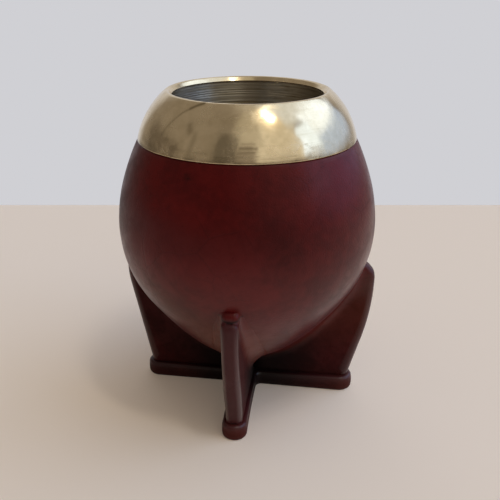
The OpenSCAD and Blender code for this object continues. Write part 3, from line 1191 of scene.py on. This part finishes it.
@dataclass
class Mouthpiece:
    """The domed collar and the sleeve inside it."""

    outline: BodyOutline
    lip_z: float = 112.5
    lip_r: float = 26.8
    dome_arc: float = 27.5
    sheet_t: float = 0.9
    bead_r: float = 1.1
    proud: float = 0.15
    sleeve_t: float = 0.6
    sleeve_len: float = 15.0
    setback: float = 0.2
    sleeve_bead: float = 0.6
    lean: float = 0.3
    lip_slope: float = 50.0
    lip_face: float = 1.3
    collar_sides: int = 432
    sleeve_sides: int = 192
    sleeve_rise: float = 0.7
    sleeve_rings: int = 150
    crease_depth: float = 0.07
    lumps: Relief = Relief(0.05, 11.0)
    ripple: Relief = Relief(0.02, 4.0)
    edge_round: tuple[Point2, ...] = ((-0.62, 0.16), (-0.42, 0.02), (-0.16, 0.0), (-0.04, 0.1))

    @cached_property
    def bead_c(self) -> Point2:
        """Return the centre of the lip's bead."""
        return self.lip_r, self.lip_z - self.bead_r

    @cached_property
    def dome(self) -> Arc:
        """Return the collar's outer arc.

        Returns:
            The arc, from the collar's lower edge to the bead.
        """
        edge = self.outline.shoulder.at(self.outline.shoulder.last)
        foot = edge[0] + self.proud, self.outline.collar_z
        centre = left_meet(foot, self.dome_arc, self.bead_c, self.dome_arc - self.bead_r)
        first = angle_of((foot[0] - centre[0], foot[1] - centre[1]))
        last = angle_of((self.bead_c[0] - centre[0], self.bead_c[1] - centre[1]))
        return Arc(centre, self.dome_arc, first, last)

    def _wall_darkening(self, p: Point3, i: int) -> dict[str, float]:
        """Return how dark the sleeve's wall is at a point: in rings, and darker deeper in the mouth.

        Args:
            p: The point.
            i: Not used.

        Returns:
            The share for the finish.
        """
        rings = noise.noise(Vector((p[0] * 0.06, p[1] * 0.06, p[2] * 1.3)))
        deep = ease(p[2], self.lip_z - 6.0, self.lip_z - self.sleeve_len)
        return {"grime": max(0.0, min(1.0, 0.25 + 0.9 * rings + 0.35 * deep))}

    def _lean(self, p: Point3) -> Point3:
        """Move a point with the collar's slight lean to one side."""
        share = ease(p[2], self.outline.collar_z - 2, self.lip_z - 4)
        return p[0] + self.lean * share, p[1], p[2]

    def build_collar(self) -> bpy.types.Object:
        """Make the collar as one closed sheet with a rolled lip.

        Returns:
            The collar.
        """
        dome = self.dome
        edge_r, edge_z = dome.at(dome.first)
        profile = [(edge_r + x, edge_z + z) for x, z in self.edge_round]
        profile += Arc(dome.centre, dome.radius, dome.first + 0.6, dome.last).samples(0.42)
        bead = Arc(self.bead_c, self.bead_r, dome.last, 90.0 + self.lip_slope)
        end_r, end_z = bead.at(bead.last)
        profile += bead.samples(0.16) + [(end_r, end_z)]
        c, s = along(-self.lip_slope)
        for share in (0.4, 0.85, 0.97, 1.0):
            profile.append((end_r - share * self.lip_face * c, end_z + share * self.lip_face * s))
        low_r, low_z = profile[-1]
        profile += [(low_r + 0.04, low_z - 0.12), (low_r + 0.16, low_z - 0.22)]
        profile += Arc(self.bead_c, self.bead_r, 218.0, 262.0).samples(0.3) + [bead.at(262.0)]
        profile += Arc(dome.centre, dome.radius - self.sheet_t, dome.last - 2, dome.first + 1).samples(1.6)
        edge = len(self.edge_round)

        def depth(p: Point3, i: int) -> float:
            """Return the unevenness of the sheet, with its creases pressed in."""
            uneven = self.lumps.at(p) + self.ripple.at(p) - self.crease_depth * marked(CREASES, p)
            return uneven if i >= edge else 0.0

        push = pushed(profile, True, depth)
        return Lathe(self.collar_sides).turn("collar_sheet", profile, True,
                                             lambda p, i: self._lean(push(p, i)), self._grime)

    def _grime(self, p: Point3, i: int) -> dict[str, float]:
        """Return how far dirt has settled at a point of the collar.

        Args:
            p: The point.
            i: Not used.

        Returns:
            The share for the finish.
        """
        low = ease(p[2], self.outline.collar_z + 1.6, self.outline.collar_z)
        left = ease(p[0] - p[1] * 0.2, 0.0, -22.0)
        patchy = low * (0.45 + 0.35 * left + 0.5 * noise.noise(Vector(p) / 3.0))
        return {"grime": max(0.0, patchy, marked(CREASES, p), marked(STAINS, p))}

    def build_sleeve(self) -> bpy.types.Object:
        """Make the sleeve with the rings that show on its wall.

        Returns:
            The sleeve.
        """
        inner = self.lip_r - self.bead_r + self.setback
        outer = inner + self.sleeve_t
        under = math.sqrt((self.bead_r + 0.1) ** 2 - (self.lip_r - outer) ** 2)
        top = self.bead_c[1] - under
        foot = top - self.sleeve_len
        rise, steps = self.sleeve_rise, self.sleeve_rings
        wall: list[Point2] = [(outer - 0.15, top + rise + 0.05), (inner + 0.2, top + rise + 0.1)]
        for i in range(steps + 1):
            z = top + rise - (self.sleeve_len + rise) * i / steps
            wave = 0.012 * math.sin(z * 7.2) + 0.05 * noise.noise(Vector((z * 1.7, 0.0, 4.0)))
            wall.append((inner + 0.08 + wave, z))
        bead = Arc((inner + self.sleeve_bead, foot), self.sleeve_bead, 180.0, 350.0)
        profile = [(outer, foot + 0.6), (outer, top)] + wall + bead.samples(0.2)[1:]
        return Lathe(self.sleeve_sides).turn("mouth_wall", profile, True,
                                             lambda p, i: self._lean(p), self._wall_darkening)

    def dress(self, collar: bpy.types.Object, sleeve: bpy.types.Object) -> None:
        """Give both pieces their finishes."""
        settle(collar, COLLAR_METAL.material(), "collar_metal", "collar")
        settle(sleeve, SLEEVE_METAL.material(), "sleeve_metal", "mouth_sleeve")


class Side(Enum):
    """The four sides on which a fin stands, with the turn of each from the right-hand one."""

    FRONT = -90
    RIGHT = 0
    BACK = 90
    LEFT = 180


@dataclass(frozen=True)
class SideTrim:
    """How one side's arm and fin differ from the common sizes."""

    reach: float = 0.0
    curve: float = 0.0
    widest: float = 0.0
    arm: float = 0.0
    width: float = 0.0
    turn: float = 0.0
    knuckle: float = 0.1
    # Painted light: how much lighter the fin grows higher up, where light from the right falls on it.
    side_light: float = 0.0


TRIMS = {
    Side.FRONT: SideTrim(widest=-1.8, arm=-0.4, width=-0.6, turn=1.3, knuckle=0.8),
    Side.RIGHT: SideTrim(reach=0.4, curve=20.0, arm=0.3, width=0.8, side_light=0.4),
    Side.BACK: SideTrim(),
    Side.LEFT: SideTrim(reach=-0.8, curve=-35.0, arm=-0.6, width=0.4),
}
CORNER_STEPS = (10, 20, 30, 41, 53, 66, 78, 90)
FLARE_STEPS = (90, 78, 66, 55, 44, 34, 25, 17, 9, 0)
FLAT_STEPS = 6
UNDER_STEPS = 6
SOLE_STEPS = 16
TOE_STEPS = 6
STRAIGHT_STEPS = 14
CURVE_STEPS = 22
TIP_STEPS = 32
DEEP = 9.0


@dataclass(frozen=True)
class Section:
    """One section of a fin: how it stands on the body, and how far along the edge its end is."""

    arc: Arc
    degrees: float
    length: float
    flare: float
    level: bool
    run: float


@dataclass(frozen=True)
class Sample:
    """One sample of a section: distance from the axis, half the thickness and height, and two distances."""

    place: Point3
    off_body: float
    off_edge: float

    def mirrored(self) -> "Sample":
        """Return the sample on the fin's other face."""
        return Sample((self.place[0], -self.place[1], self.place[2]), self.off_body, self.off_edge)


@dataclass(frozen=True)
class FinTones:
    """Where the finish of a fin changes, painted light and shadow included, each pair from where to where in
    millimetres, and by how much.
    """

    knuckle_red: Point2 = (2.7, 2.2)
    nick_shadow_run: float = 3.1
    nick_shadow_width: float = 0.55
    side_light_height: Point2 = (12.0, 36.0)
    strip_depth: Point2 = (2.4, 1.2)
    strip_wax: float = 0.2
    bevel_depth: Point2 = (0.02, 0.3)
    bevel_run: Point2 = (3.0, 14.0)
    bevel_wax: float = 0.55
    high_height: Point2 = (36.0, 46.0)
    high_wax: float = 0.3
    edge_depth: Point2 = (2.2, 0.3)
    fin_way: Point2 = (0.3, 5.5)
    shade_radius: Point2 = (33.0, 10.0)
    shade_way: Point2 = (0.2, 4.0)


@dataclass
class Fin:
    """One leather fin, lofted from sections that are square to the body."""

    side: Side
    outline: BodyOutline
    relief: Relief
    reach: float
    curve: float
    widest_z: float
    foot_r: float
    turn: float
    knuckle: float
    side_light: float
    tip_arc: float = 6.0
    thickness: float = 5.7
    corner: float = 1.9
    flare: float = 6.6
    tip_flare: float = 1.2
    flare_deg: float = 24.0
    sink: float = 0.3
    seat_z: float = 5.7
    inner_end: float = 1.2
    mitre_gap: float = 0.3
    knuckle_len: float = 4.0
    least_knuckle: float = 0.5
    blend: float = 5.0
    unevenness: float = 0.12
    face_wax: float = 0.06
    body_wax: float = 0.45
    tones: FinTones = FinTones()

    @cached_property
    def half(self) -> float:
        """Return half the fin's thickness."""
        return self.thickness / 2

    @cached_property
    def edge_c(self) -> Point2:
        """Return the centre of the outer edge's arc."""
        return self.reach - self.curve, self.widest_z

    @cached_property
    def tip_c(self) -> Point2:
        """Return the centre of the rounded tip."""
        return self.reach - self.tip_arc, self.widest_z

    @cached_property
    def edge_deg(self) -> float:
        """Return the angle at which the outer edge turns into the straight run to the foot.

        Returns:
            Degrees below the level of the fin's widest place.
        """
        v = self.foot_r - self.edge_c[0], self.seat_z - self.edge_c[1]
        return math.degrees(math.atan2(-v[1], v[0]) - math.acos(min(1.0, self.curve / math.hypot(*v))))

    @cached_property
    def tip_last(self) -> Point2:
        """Return the place where the tip comes down onto the body."""
        belly = self.outline.belly
        return left_meet(belly.centre, belly.radius + 0.05, self.tip_c, self.tip_arc)

    @cached_property
    def tip_deg(self) -> float:
        """Return the angle of that place, seen from the centre of the tip."""
        return angle_of((self.tip_last[0] - self.tip_c[0], self.tip_last[1] - self.tip_c[1]))

    def tip_edge(self, degrees: float) -> float:
        """Return the distance of the tip's outline from its centre, with the knuckle and its nick.

        Args:
            degrees: Angle seen from the centre of the tip.

        Returns:
            Millimetres.
        """
        run = max(0.0, self.tip_arc * math.radians(self.tip_deg - degrees))
        nick = bell(run, 0.74 * self.knuckle_len, 0.25 * self.knuckle_len)
        return self.tip_arc + self.knuckle * (bell(run, 0.0, 0.5 * self.knuckle_len) - nick)

    def edge_depth(self, p: Point2) -> float:
        """Return the distance of a point from the fin's outer edge, inwards.

        Args:
            p: Distance from the axis and height.

        Returns:
            Millimetres.
        """
        if p[1] > self.widest_z:
            v = p[0] - self.tip_c[0], p[1] - self.tip_c[1]
            return self.tip_edge(angle_of(v)) - math.hypot(*v)
        v = p[0] - self.edge_c[0], p[1] - self.edge_c[1]
        if math.degrees(math.atan2(-v[1], v[0])) > self.edge_deg:
            c, s = along(-self.edge_deg)
            return self.curve - (v[0] * c + v[1] * s)
        return self.curve - math.hypot(*v)

    def edge_half(self, depth: float) -> float:
        """Return half the fin's thickness at a depth from its outer edge, with its round corners."""
        short = max(0.0, self.corner - max(0.0, depth))
        return self.half - self.corner + math.sqrt(self.corner ** 2 - short ** 2)

    def outer_points(self) -> list[tuple[Point2, bool]]:
        """Return where the sections end.

        Returns:
            The ends from the axis outwards and up to the tip, and for each whether it lies on the foot.
        """
        inner = self.foot_r - self.corner
        ends: list[tuple[Point2, bool]] = []
        for i in range(SOLE_STEPS):
            ends.append(((self.inner_end + (inner - self.inner_end) * i / SOLE_STEPS, self.seat_z), True))
        for i in range(TOE_STEPS):
            ends.append(((self.foot_r - self.corner * drop(90 - 90 / TOE_STEPS * i), self.seat_z), True))
        c, s = along(-self.edge_deg)
        top = self.edge_c[0] + self.curve * c, self.edge_c[1] + self.curve * s
        foot = self.foot_r, self.seat_z
        for i in range(STRAIGHT_STEPS):
            share = i / STRAIGHT_STEPS
            end = foot[0] + (top[0] - foot[0]) * share, foot[1] + (top[1] - foot[1]) * share
            ends.append((end, False))
        for i in range(CURVE_STEPS):
            c, s = along(-self.edge_deg * (1 - i / CURVE_STEPS))
            ends.append(((self.edge_c[0] + self.curve * c, self.edge_c[1] + self.curve * s), False))
        for i in range(TIP_STEPS + 1):
            degrees = self.tip_deg * i / TIP_STEPS
            c, s = along(degrees)
            reach = self.tip_edge(degrees)
            ends.append(((self.tip_c[0] + reach * c, self.tip_c[1] + reach * s), False))
        return ends

    def _section(self, end: Point2, level: bool) -> Section:
        """Return the section that ends at a point.

        Args:
            end: Distance from the axis and height.
            level: Whether that end lies on the foot.

        Returns:
            The section.
        """
        arc = self.outline.nearest(end)
        v = end[0] - arc.centre[0], end[1] - arc.centre[1]
        belly = self.outline.belly.centre
        tip_deg = angle_of((self.tip_last[0] - belly[0], self.tip_last[1] - belly[1]))
        flared = ease(tip_deg - angle_of(v), 0.0, self.flare_deg)
        from_tip = angle_of((end[0] - self.tip_c[0], end[1] - self.tip_c[1]))
        return Section(arc, angle_of(v), max(0.02, math.hypot(*v) - arc.radius),
                       self.tip_flare + (self.flare - self.tip_flare) * flared, level,
                       self.tip_arc * math.radians(self.tip_deg - from_tip))

    def _ways(self, section: Section) -> list[float]:
        """Return how far from the body a section is sampled, from its end inwards.

        Args:
            section: The section.

        Returns:
            Millimetres from the body's surface.
        """
        length, flare = section.length, section.flare
        scale = min(1.0, length / (flare + self.corner + 0.5))
        depths = [0.0 if section.level else scale * self.corner * drop(5)]
        depths += [scale * self.corner * drop(a) for a in CORNER_STEPS]
        flat = length - scale * (self.corner + flare)
        depths += [scale * self.corner + flat * i / FLAT_STEPS for i in range(1, FLAT_STEPS)]
        return [length - depth for depth in depths] + [scale * flare * drop(a) for a in FLARE_STEPS]

    def _samples(self, section: Section) -> list[Sample]:
        """Return the samples of one face of a section, from its end to below the body's surface.

        Args:
            section: The section.

        Returns:
            The samples.
        """
        arc, flare = section.arc, section.flare
        c, s = along(section.degrees)
        samples: list[Sample] = []
        for d in self._ways(section):
            p = arc.centre[0] + (arc.radius + d) * c, arc.centre[1] + (arc.radius + d) * s
            extra = 0.0 if d >= flare else flare - math.sqrt(max(0.0, flare * flare - (flare - d) ** 2))
            depth = self.edge_depth(p)
            round_share = self.edge_half(depth) / self.half
            mitre = p[0] * math.sin(math.radians(45)) - self.mitre_gap
            samples.append(Sample((p[0], min(mitre, (self.half + extra) * round_share), p[1]), d, depth))
        seat = samples[-1].place
        samples.append(Sample((seat[0] - self.sink * c, seat[1], seat[2] - self.sink * s), 0.0, DEEP))
        return samples

    def _tones(self, section: Section, sample: Sample, world: Point3, height: float) -> dict[str, float]:
        """Return what the finish reads at a sample, painted light and shadow included.

        Args:
            section: The section that the sample is on.
            sample: The sample.
            world: Its place on the cup, without the relief.
            height: Its height with the relief.

        Returns:
            The shares by their names.
        """
        tones = self.tones
        d, depth = sample.off_body, sample.off_edge
        bunched = 1.0 if self.knuckle > self.least_knuckle and not section.level else 0.0
        red = bunched * ease(section.run, *tones.knuckle_red)
        # Painted shadow in the nick under the knuckle.
        crease = bunched * bell(section.run, tones.nick_shadow_run, tones.nick_shadow_width)
        body = 1 - ease(d, 0.0, self.blend)
        # Painted light on the right-hand fin, rising with height.
        side_light = self.side_light * ease(height, *tones.side_light_height) * (1 - body)
        strip = ease(depth, *tones.strip_depth)
        bevel = ease(depth, *tones.bevel_depth) * ease(section.run, *tones.bevel_run)
        face = BODY_WAX.at(world) * body * self.body_wax
        face += (self.face_wax + tones.high_wax * ease(height, *tones.high_height)) * (1 - body)
        return {"root": ROOT_TONE_AND_LIGHT.at(world) * body + side_light,
                "edge": 0.0 if section.level else ease(depth, *tones.edge_depth) * (1 - red),
                "fin": ease(d, *tones.fin_way) * (1 - red),
                # Painted shadow: darker towards the axis under the body, and in the nick.
                "shade": max(ease(sample.place[0], *tones.shade_radius) * ease(d, *tones.shade_way), crease),
                "wax": face * (1 - strip) + strip * (tones.strip_wax + tones.bevel_wax * bevel)}

    def ring(self, end: Point2, level: bool) -> tuple[list[Point3], dict[str, list[float]]]:
        """Return one closed section of the fin, wrapped round the axis.

        Args:
            end: Where the section ends.
            level: Whether that end lies on the foot.

        Returns:
            The points, and for each share of the finish one value a point.
        """
        section = self._section(end, level)
        c, s = along(section.degrees)
        face = self._samples(section)
        outmost = section.arc.radius + section.length
        tip = section.arc.centre[0] + outmost * c, 0.0, section.arc.centre[1] + outmost * s
        low_r, low_y, low_z = face[-1].place
        around = [Sample(tip, section.length, 0.0)] + face
        around += [Sample((low_r, low_y * (1 - 2 * i / UNDER_STEPS), low_z), 0.0, DEEP)
                   for i in range(1, UNDER_STEPS)]
        around += [sample.mirrored() for sample in face[::-1]]
        points: list[Point3] = []
        shares: dict[str, list[float]] = {}
        for sample in around:
            rho, y, z = sample.place
            x = math.sqrt(max(0.0, rho * rho - y * y))
            wave = self.unevenness * noise.noise(Vector((x, y + 40 * self.side.value, z)) / 7.0)
            body = 1 - ease(sample.off_body, 0.0, self.blend)
            world = self.turned((x, y, z))
            out = self.relief.at(world) * body
            x, z = x + c * out, z + s * out
            points.append((x, y + (wave if y > 0 else -wave) * (1 - body), z))
            for name, value in self._tones(section, sample, world, z).items():
                shares.setdefault(name, []).append(value)
        return points, shares

    def turned(self, p: Point3) -> Point3:
        """Return a point turned from the fin's own plane to its side of the cup."""
        c, s = along(self.side.value + self.turn)
        return p[0] * c - p[1] * s, p[0] * s + p[1] * c, p[2]

    def build(self) -> bpy.types.Object:
        """Make the fin.

        Returns:
            The fin.
        """
        skin = Skin()
        starts: list[int] = []
        count = 0
        for level_only in (True, False):
            for end, level in self.outer_points():
                if level != level_only:
                    continue
                points, shares = self.ring(end, level)
                count = len(points)
                starts.append(skin.add_ring([self.turned(p) for p in points], **shares))
        for low, high in zip(starts, starts[1:]):
            skin.bridge(high, low, count)
        skin.cap(starts[0], count, True)
        skin.cap(starts[-1], count, False)
        return skin.to_object(f"fin_{self.side.name.lower()}_leather")


@dataclass
class FootAndFins:
    """The cross foot and the four fins that stand on it."""

    outline: BodyOutline
    relief: Relief
    foot_t: float = 5.6
    arm_len: float = 40.2
    arm_w: float = 9.2
    corner_r: float = 2.2
    top_edge: float = 1.4
    sole_edge: float = 0.8
    step: float = 1.8
    fin_reach: float = 46.0
    fin_curve: float = 75.0
    fin_widest_z: float = 46.6
    unevenness: float = 0.14
    face_wax: float = 0.06
    edge_wax: float = 0.34

    def fins(self) -> list[Fin]:
        """Return the fins.

        Returns:
            The fins in the order front, right, back, left.
        """
        made: list[Fin] = []
        for side, trim in TRIMS.items():
            made.append(Fin(side, self.outline, self.relief, reach=self.fin_reach + trim.reach,
                            curve=self.fin_curve + trim.curve, widest_z=self.fin_widest_z + trim.widest,
                            foot_r=self.arm_len + trim.arm - self.step, turn=trim.turn,
                            knuckle=trim.knuckle, side_light=trim.side_light))
        return made

    def cross_ring(self, inset: float, z: float) -> list[Point3]:
        """Return the foot's outline at a height.

        Args:
            inset: How far the outline is shrunk.
            z: The height.

        Returns:
            The points, anticlockwise.
        """
        halves = [(self.arm_w + trim.width) / 2 for trim in TRIMS.values()]
        ring: list[Point3] = []
        for i, (side, trim) in enumerate(TRIMS.items()):
            c, s = along(side.value)
            slope = math.tan(math.radians(trim.turn))
            half, before, after = halves[i], halves[i - 1], halves[(i + 1) % 4]
            side_w = half - inset
            near, far = before + self.corner_r, after + self.corner_r
            end_x = self.arm_len + trim.arm - half
            local: list[Point2] = []
            for j in range(1, 12):
                x = near + (end_x - near) * j / 12
                local.append((x, slope * x * j / 12 - side_w))
            for j in range(25):
                cc, ss = along(7.5 * j - 90)
                local.append((end_x + side_w * cc, slope * end_x + side_w * ss))
            for j in range(11, 0, -1):
                x = far + (end_x - far) * j / 12
                local.append((x, slope * x * j / 12 + side_w))
            reach = self.corner_r + inset
            for j in range(9):
                cc, ss = along(270 - 90 * j / 8)
                local.append((far + reach * cc, half + self.corner_r + reach * ss))
            for x, y in local:
                px, py = x * c - y * s, x * s + y * c
                wave = self.unevenness * noise.noise(Vector((px, py, z * 0.4)) / 6.0)
                away = math.hypot(px, py)
                ring.append((px + wave * px / away, py + wave * py / away, z))
        return ring

    def build_foot(self) -> bpy.types.Object:
        """Make the cross foot with its softened edges.

        Returns:
            The foot.
        """
        skin = Skin()
        starts: list[int] = []
        rings: list[tuple[float, float, float]] = []
        for a in range(0, 91, 15):
            c, s = along(a)
            rings.append((self.sole_edge * (1 - s), self.sole_edge * (1 - c), 0.25))
        for z in (1.6, 2.4):
            rings.append((-0.1, z, 0.1))
        for a in range(0, 91, 10):
            c, s = along(a)
            worn = 0.35 + 0.65 * s * c * 2
            rings.append((self.top_edge * (1 - c), self.foot_t - self.top_edge * (1 - s), worn))
        rings.append((self.top_edge + 0.5, self.foot_t, 0.3))
        for inset, z, worn in rings:
            ring = self.cross_ring(inset, z)
            reaches = [math.hypot(p[0], p[1]) for p in ring]
            # Painted shadow: darker towards the axis under the body, and on the left-hand arm.
            shade = [max(ease(reach, 34.0, 10.0), 0.35 * ease(p[0], -16.0, -34.0))
                     for p, reach in zip(ring, reaches)]
            # Painted light: the outer ends of the arms, most on the right-hand side, are lighter where light
            # from the right falls on them.
            red = [0.4 * ease(reach, 28.0, 44.0) * ease(p[0], -14.0, 4.0) for p, reach in zip(ring, reaches)]
            wax = self.face_wax + self.edge_wax * worn
            count = len(ring)
            starts.append(skin.add_ring(ring, edge=[worn] * count, fin=[1.0] * count, wax=[wax] * count,
                                        shade=shade, root=red))
        for low, high in zip(starts, starts[1:]):
            skin.bridge(low, high, count)
        skin.cap(starts[0], count, False)
        skin.cap(starts[-1], count, True)
        return skin.to_object("cross_foot_leather")

    def build_and_dress(self) -> None:
        """Make the foot and the fins and give them their finish."""
        leather = FIN_LEATHER.material()
        settle(self.build_foot(), leather, "fin_leather", "cross_foot")
        for fin in self.fins():
            settle(fin.build(), leather, "fin_leather", f"fin_{fin.side.name.lower()}")


# Studio and room


@dataclass(frozen=True)
class AreaLamp:
    """A soft lamp, placed by its direction from the cup as the camera sees it."""

    name: str
    azimuth: float
    elevation: float
    distance: float
    width: float
    height: float
    power: float
    color: Color


@dataclass(frozen=True)
class RoomPatch:
    """A soft-edged patch of the room, by its turn from the camera and its height, in degrees."""

    left: float
    right: float
    low: float
    top: float
    color: Color
    soft: float = 8.0


@dataclass
class Studio:
    """Plain pale floor that ends before a pale backdrop, soft light and the camera.

    The turns of lamps and patches are counted from the camera's side of the cup, in degrees.
    """

    camera_azimuth: float = 8.3
    camera_elevation: float = 23.21
    camera_distance: float = 243.5
    target_x: float = 1.0
    target_z: float = 54.3
    lens: float = 48.02
    floor_side: float = 3000.0
    floor_back: float = 204.0
    floor_color: Color = (0.94, 0.8, 0.675)
    floor_glow: float = 0.06
    backdrop_color: Color = (0.63, 0.63, 0.66)
    room_color: Color = (0.26, 0.23, 0.195)
    zenith_color: Color = (0.5, 0.48, 0.45)
    below_color: Color = (0.3, 0.28, 0.26)
    zenith_rise: Point2 = (76.0, 86.0)
    zenith_share: float = 0.9
    below_span: Point2 = (0.02, -0.08)
    backdrop_turn: Point2 = (138.0, 152.0)
    backdrop_rise: Point2 = (66.0, 54.0)
    lamp_aim_z: float = 0.06
    patches: tuple[RoomPatch, ...] = (
        RoomPatch(14.0, 60.0, 12.0, 76.0, (0.74, 0.71, 0.63), 9.0),
        RoomPatch(-16.0, 14.0, 36.0, 78.0, (0.5, 0.47, 0.4)),
        RoomPatch(34.0, 58.0, 58.0, 76.0, (1.05, 0.95, 0.75), 9.0),
        RoomPatch(84.0, 134.0, 4.0, 26.0, (0.58, 0.77, 1.22), 7.0),
        RoomPatch(62.0, 150.0, 52.0, 80.0, (0.85, 0.96, 1.14), 8.0),
        RoomPatch(86.0, 134.0, 27.0, 50.0, (1.3, 1.6, 2.15), 6.0),
        RoomPatch(63.0, 83.0, 12.0, 42.0, (1.25, 1.6, 2.25), 3.0),
        RoomPatch(-34.0, -14.0, -6.0, 44.0, (0.13, 0.115, 0.095), 5.0),
        RoomPatch(-122.0, -80.0, -10.0, 14.0, (0.13, 0.11, 0.09), 9.0),
        RoomPatch(-62.0, 52.0, -12.0, 4.0, (0.08, 0.07, 0.06), 8.0),
    )
    lamps: tuple[AreaLamp, ...] = (
        AreaLamp("ceiling", 45.0, 68.0, 1.5, 0.1, 0.3, 1.9, (1.0, 0.95, 0.85)),
    )

    def build_camera(self) -> None:
        """Place the camera at the viewing angle."""
        ca, sa = along(self.camera_azimuth)
        ce, se = along(self.camera_elevation)
        target = Vector((self.target_x * ca, self.target_x * sa, self.target_z)) * MM
        back = Vector((ce * sa, -ce * ca, se))
        data = bpy.data.cameras.new("camera")
        data.lens = self.lens
        data.clip_start = 0.01
        camera = bpy.data.objects.new("camera", data)
        camera.location = target + back * self.camera_distance * MM
        camera.rotation_mode = "QUATERNION"
        camera.rotation_quaternion = (-back).to_track_quat("-Z", "Y")
        bpy.context.scene.collection.objects.link(camera)
        bpy.context.scene.camera = camera

    def build_floor(self) -> None:
        """Lay the floor, a rectangle with its back edge square to the camera's view."""
        ca, sa = along(self.camera_azimuth)
        side, back = self.floor_side, self.floor_back
        corners = ((-side, -side), (side, -side), (side, back), (-side, back))
        skin = Skin()
        skin.add_ring([(x * ca - y * sa, x * sa + y * ca, 0.0) for x, y in corners])
        skin.faces.append((0, 1, 2, 3))
        floor = skin.to_object("floor")
        material, graph, shader, _ = new_material("floor")
        color = (*self.floor_color, 1.0)
        graph.feed(shader, {"Base Color": color, "Roughness": 0.9, "Specular IOR Level": 0.1,
                            "Emission Color": color, "Emission Strength": self.floor_glow})
        floor.data.materials.append(material)

    def build_lamps(self) -> None:
        """Hang the lamps."""
        for spec in self.lamps:
            ca, sa = along(self.camera_azimuth + spec.azimuth)
            ce, se = along(spec.elevation)
            back = Vector((ce * sa, -ce * ca, se))
            data = bpy.data.lights.new(spec.name, "AREA")
            data.shape = "RECTANGLE"
            data.size, data.size_y = spec.width, spec.height
            data.energy = spec.power
            data.color = spec.color
            lamp = bpy.data.objects.new(spec.name, data)
            lamp.location = back * spec.distance + Vector((0.0, 0.0, self.lamp_aim_z))
            lamp.rotation_mode = "QUATERNION"
            lamp.rotation_quaternion = (-back).to_track_quat("-Z", "Y")
            bpy.context.scene.collection.objects.link(lamp)

    def build_world(self) -> None:
        """Fill the room with soft light that is brighter on the right than on the left."""
        world = bpy.data.worlds.new("room")
        bpy.context.scene.world = world
        world.use_nodes = True
        world.node_tree.nodes.clear()
        graph = Graph(world.node_tree)
        way = graph.add("ShaderNodeTexCoord").outputs["Generated"]
        ca, sa = along(self.camera_azimuth)

        def towards(x: float, y: float, z: float) -> Socket:
            """Return how far a direction points along a vector."""
            made = graph.add("ShaderNodeVectorMath", {0: way, 1: (x, y, z)}, operation="DOT_PRODUCT")
            return made.outputs["Value"]

        front, right, up = towards(sa, -ca, 0.0), towards(ca, sa, 0.0), towards(0.0, 0.0, 1.0)
        turn = graph.math("MULTIPLY", graph.math("ARCTAN2", right, front), 180 / math.pi)
        rise = graph.math("MULTIPLY", graph.math("ARCSINE", up), 180 / math.pi)

        def band(value: Socket, low: float, high: float, soft: float) -> Socket:
            """Return 1 between two angles, falling off softly outside."""
            rising, falling = graph.spread(value, low - soft, low), graph.spread(value, high + soft, high)
            return graph.math("MULTIPLY", rising, falling)

        room: object = self.room_color
        for patch in self.patches:
            across = band(turn, patch.left, patch.right, patch.soft)
            upwards = band(rise, patch.low, patch.top, patch.soft)
            room = graph.mix(graph.math("MULTIPLY", across, upwards), room, patch.color)
        overhead = graph.math("MULTIPLY", graph.spread(rise, *self.zenith_rise), self.zenith_share)
        room = graph.mix(overhead, room, self.zenith_color)
        room = graph.mix(graph.spread(up, *self.below_span), room, self.below_color)
        behind = graph.spread(graph.math("ABSOLUTE", turn), *self.backdrop_turn)
        behind = graph.math("MULTIPLY", behind, graph.spread(rise, *self.backdrop_rise))
        room = graph.mix(behind, room, self.backdrop_color)
        light = graph.add("ShaderNodeBackground", {"Color": room, "Strength": 1.0})
        out = graph.add("ShaderNodeOutputWorld")
        graph.tree.links.new(light.outputs[0], out.inputs[0])

    def build(self) -> None:
        """Set up everything around the cup."""
        self.build_camera()
        self.build_floor()
        self.build_lamps()
        self.build_world()
        bpy.context.scene.view_settings.view_transform = "Standard"


def main() -> None:
    """Build the cup piece by piece, then the studio around it."""
    logging.basicConfig(level=logging.INFO, format="%(message)s")
    outline, relief = BodyOutline(), Relief()
    mouth = Mouthpiece(outline)
    body = WrappedGourd(outline, relief)
    body.dress(body.build_cover(mouth.dome), body.build_gourd(mouth.dome))
    mouth.dress(mouth.build_collar(), mouth.build_sleeve())
    FootAndFins(outline, relief).build_and_dress()
    Studio().build()


if __name__ == "__main__":
    main()
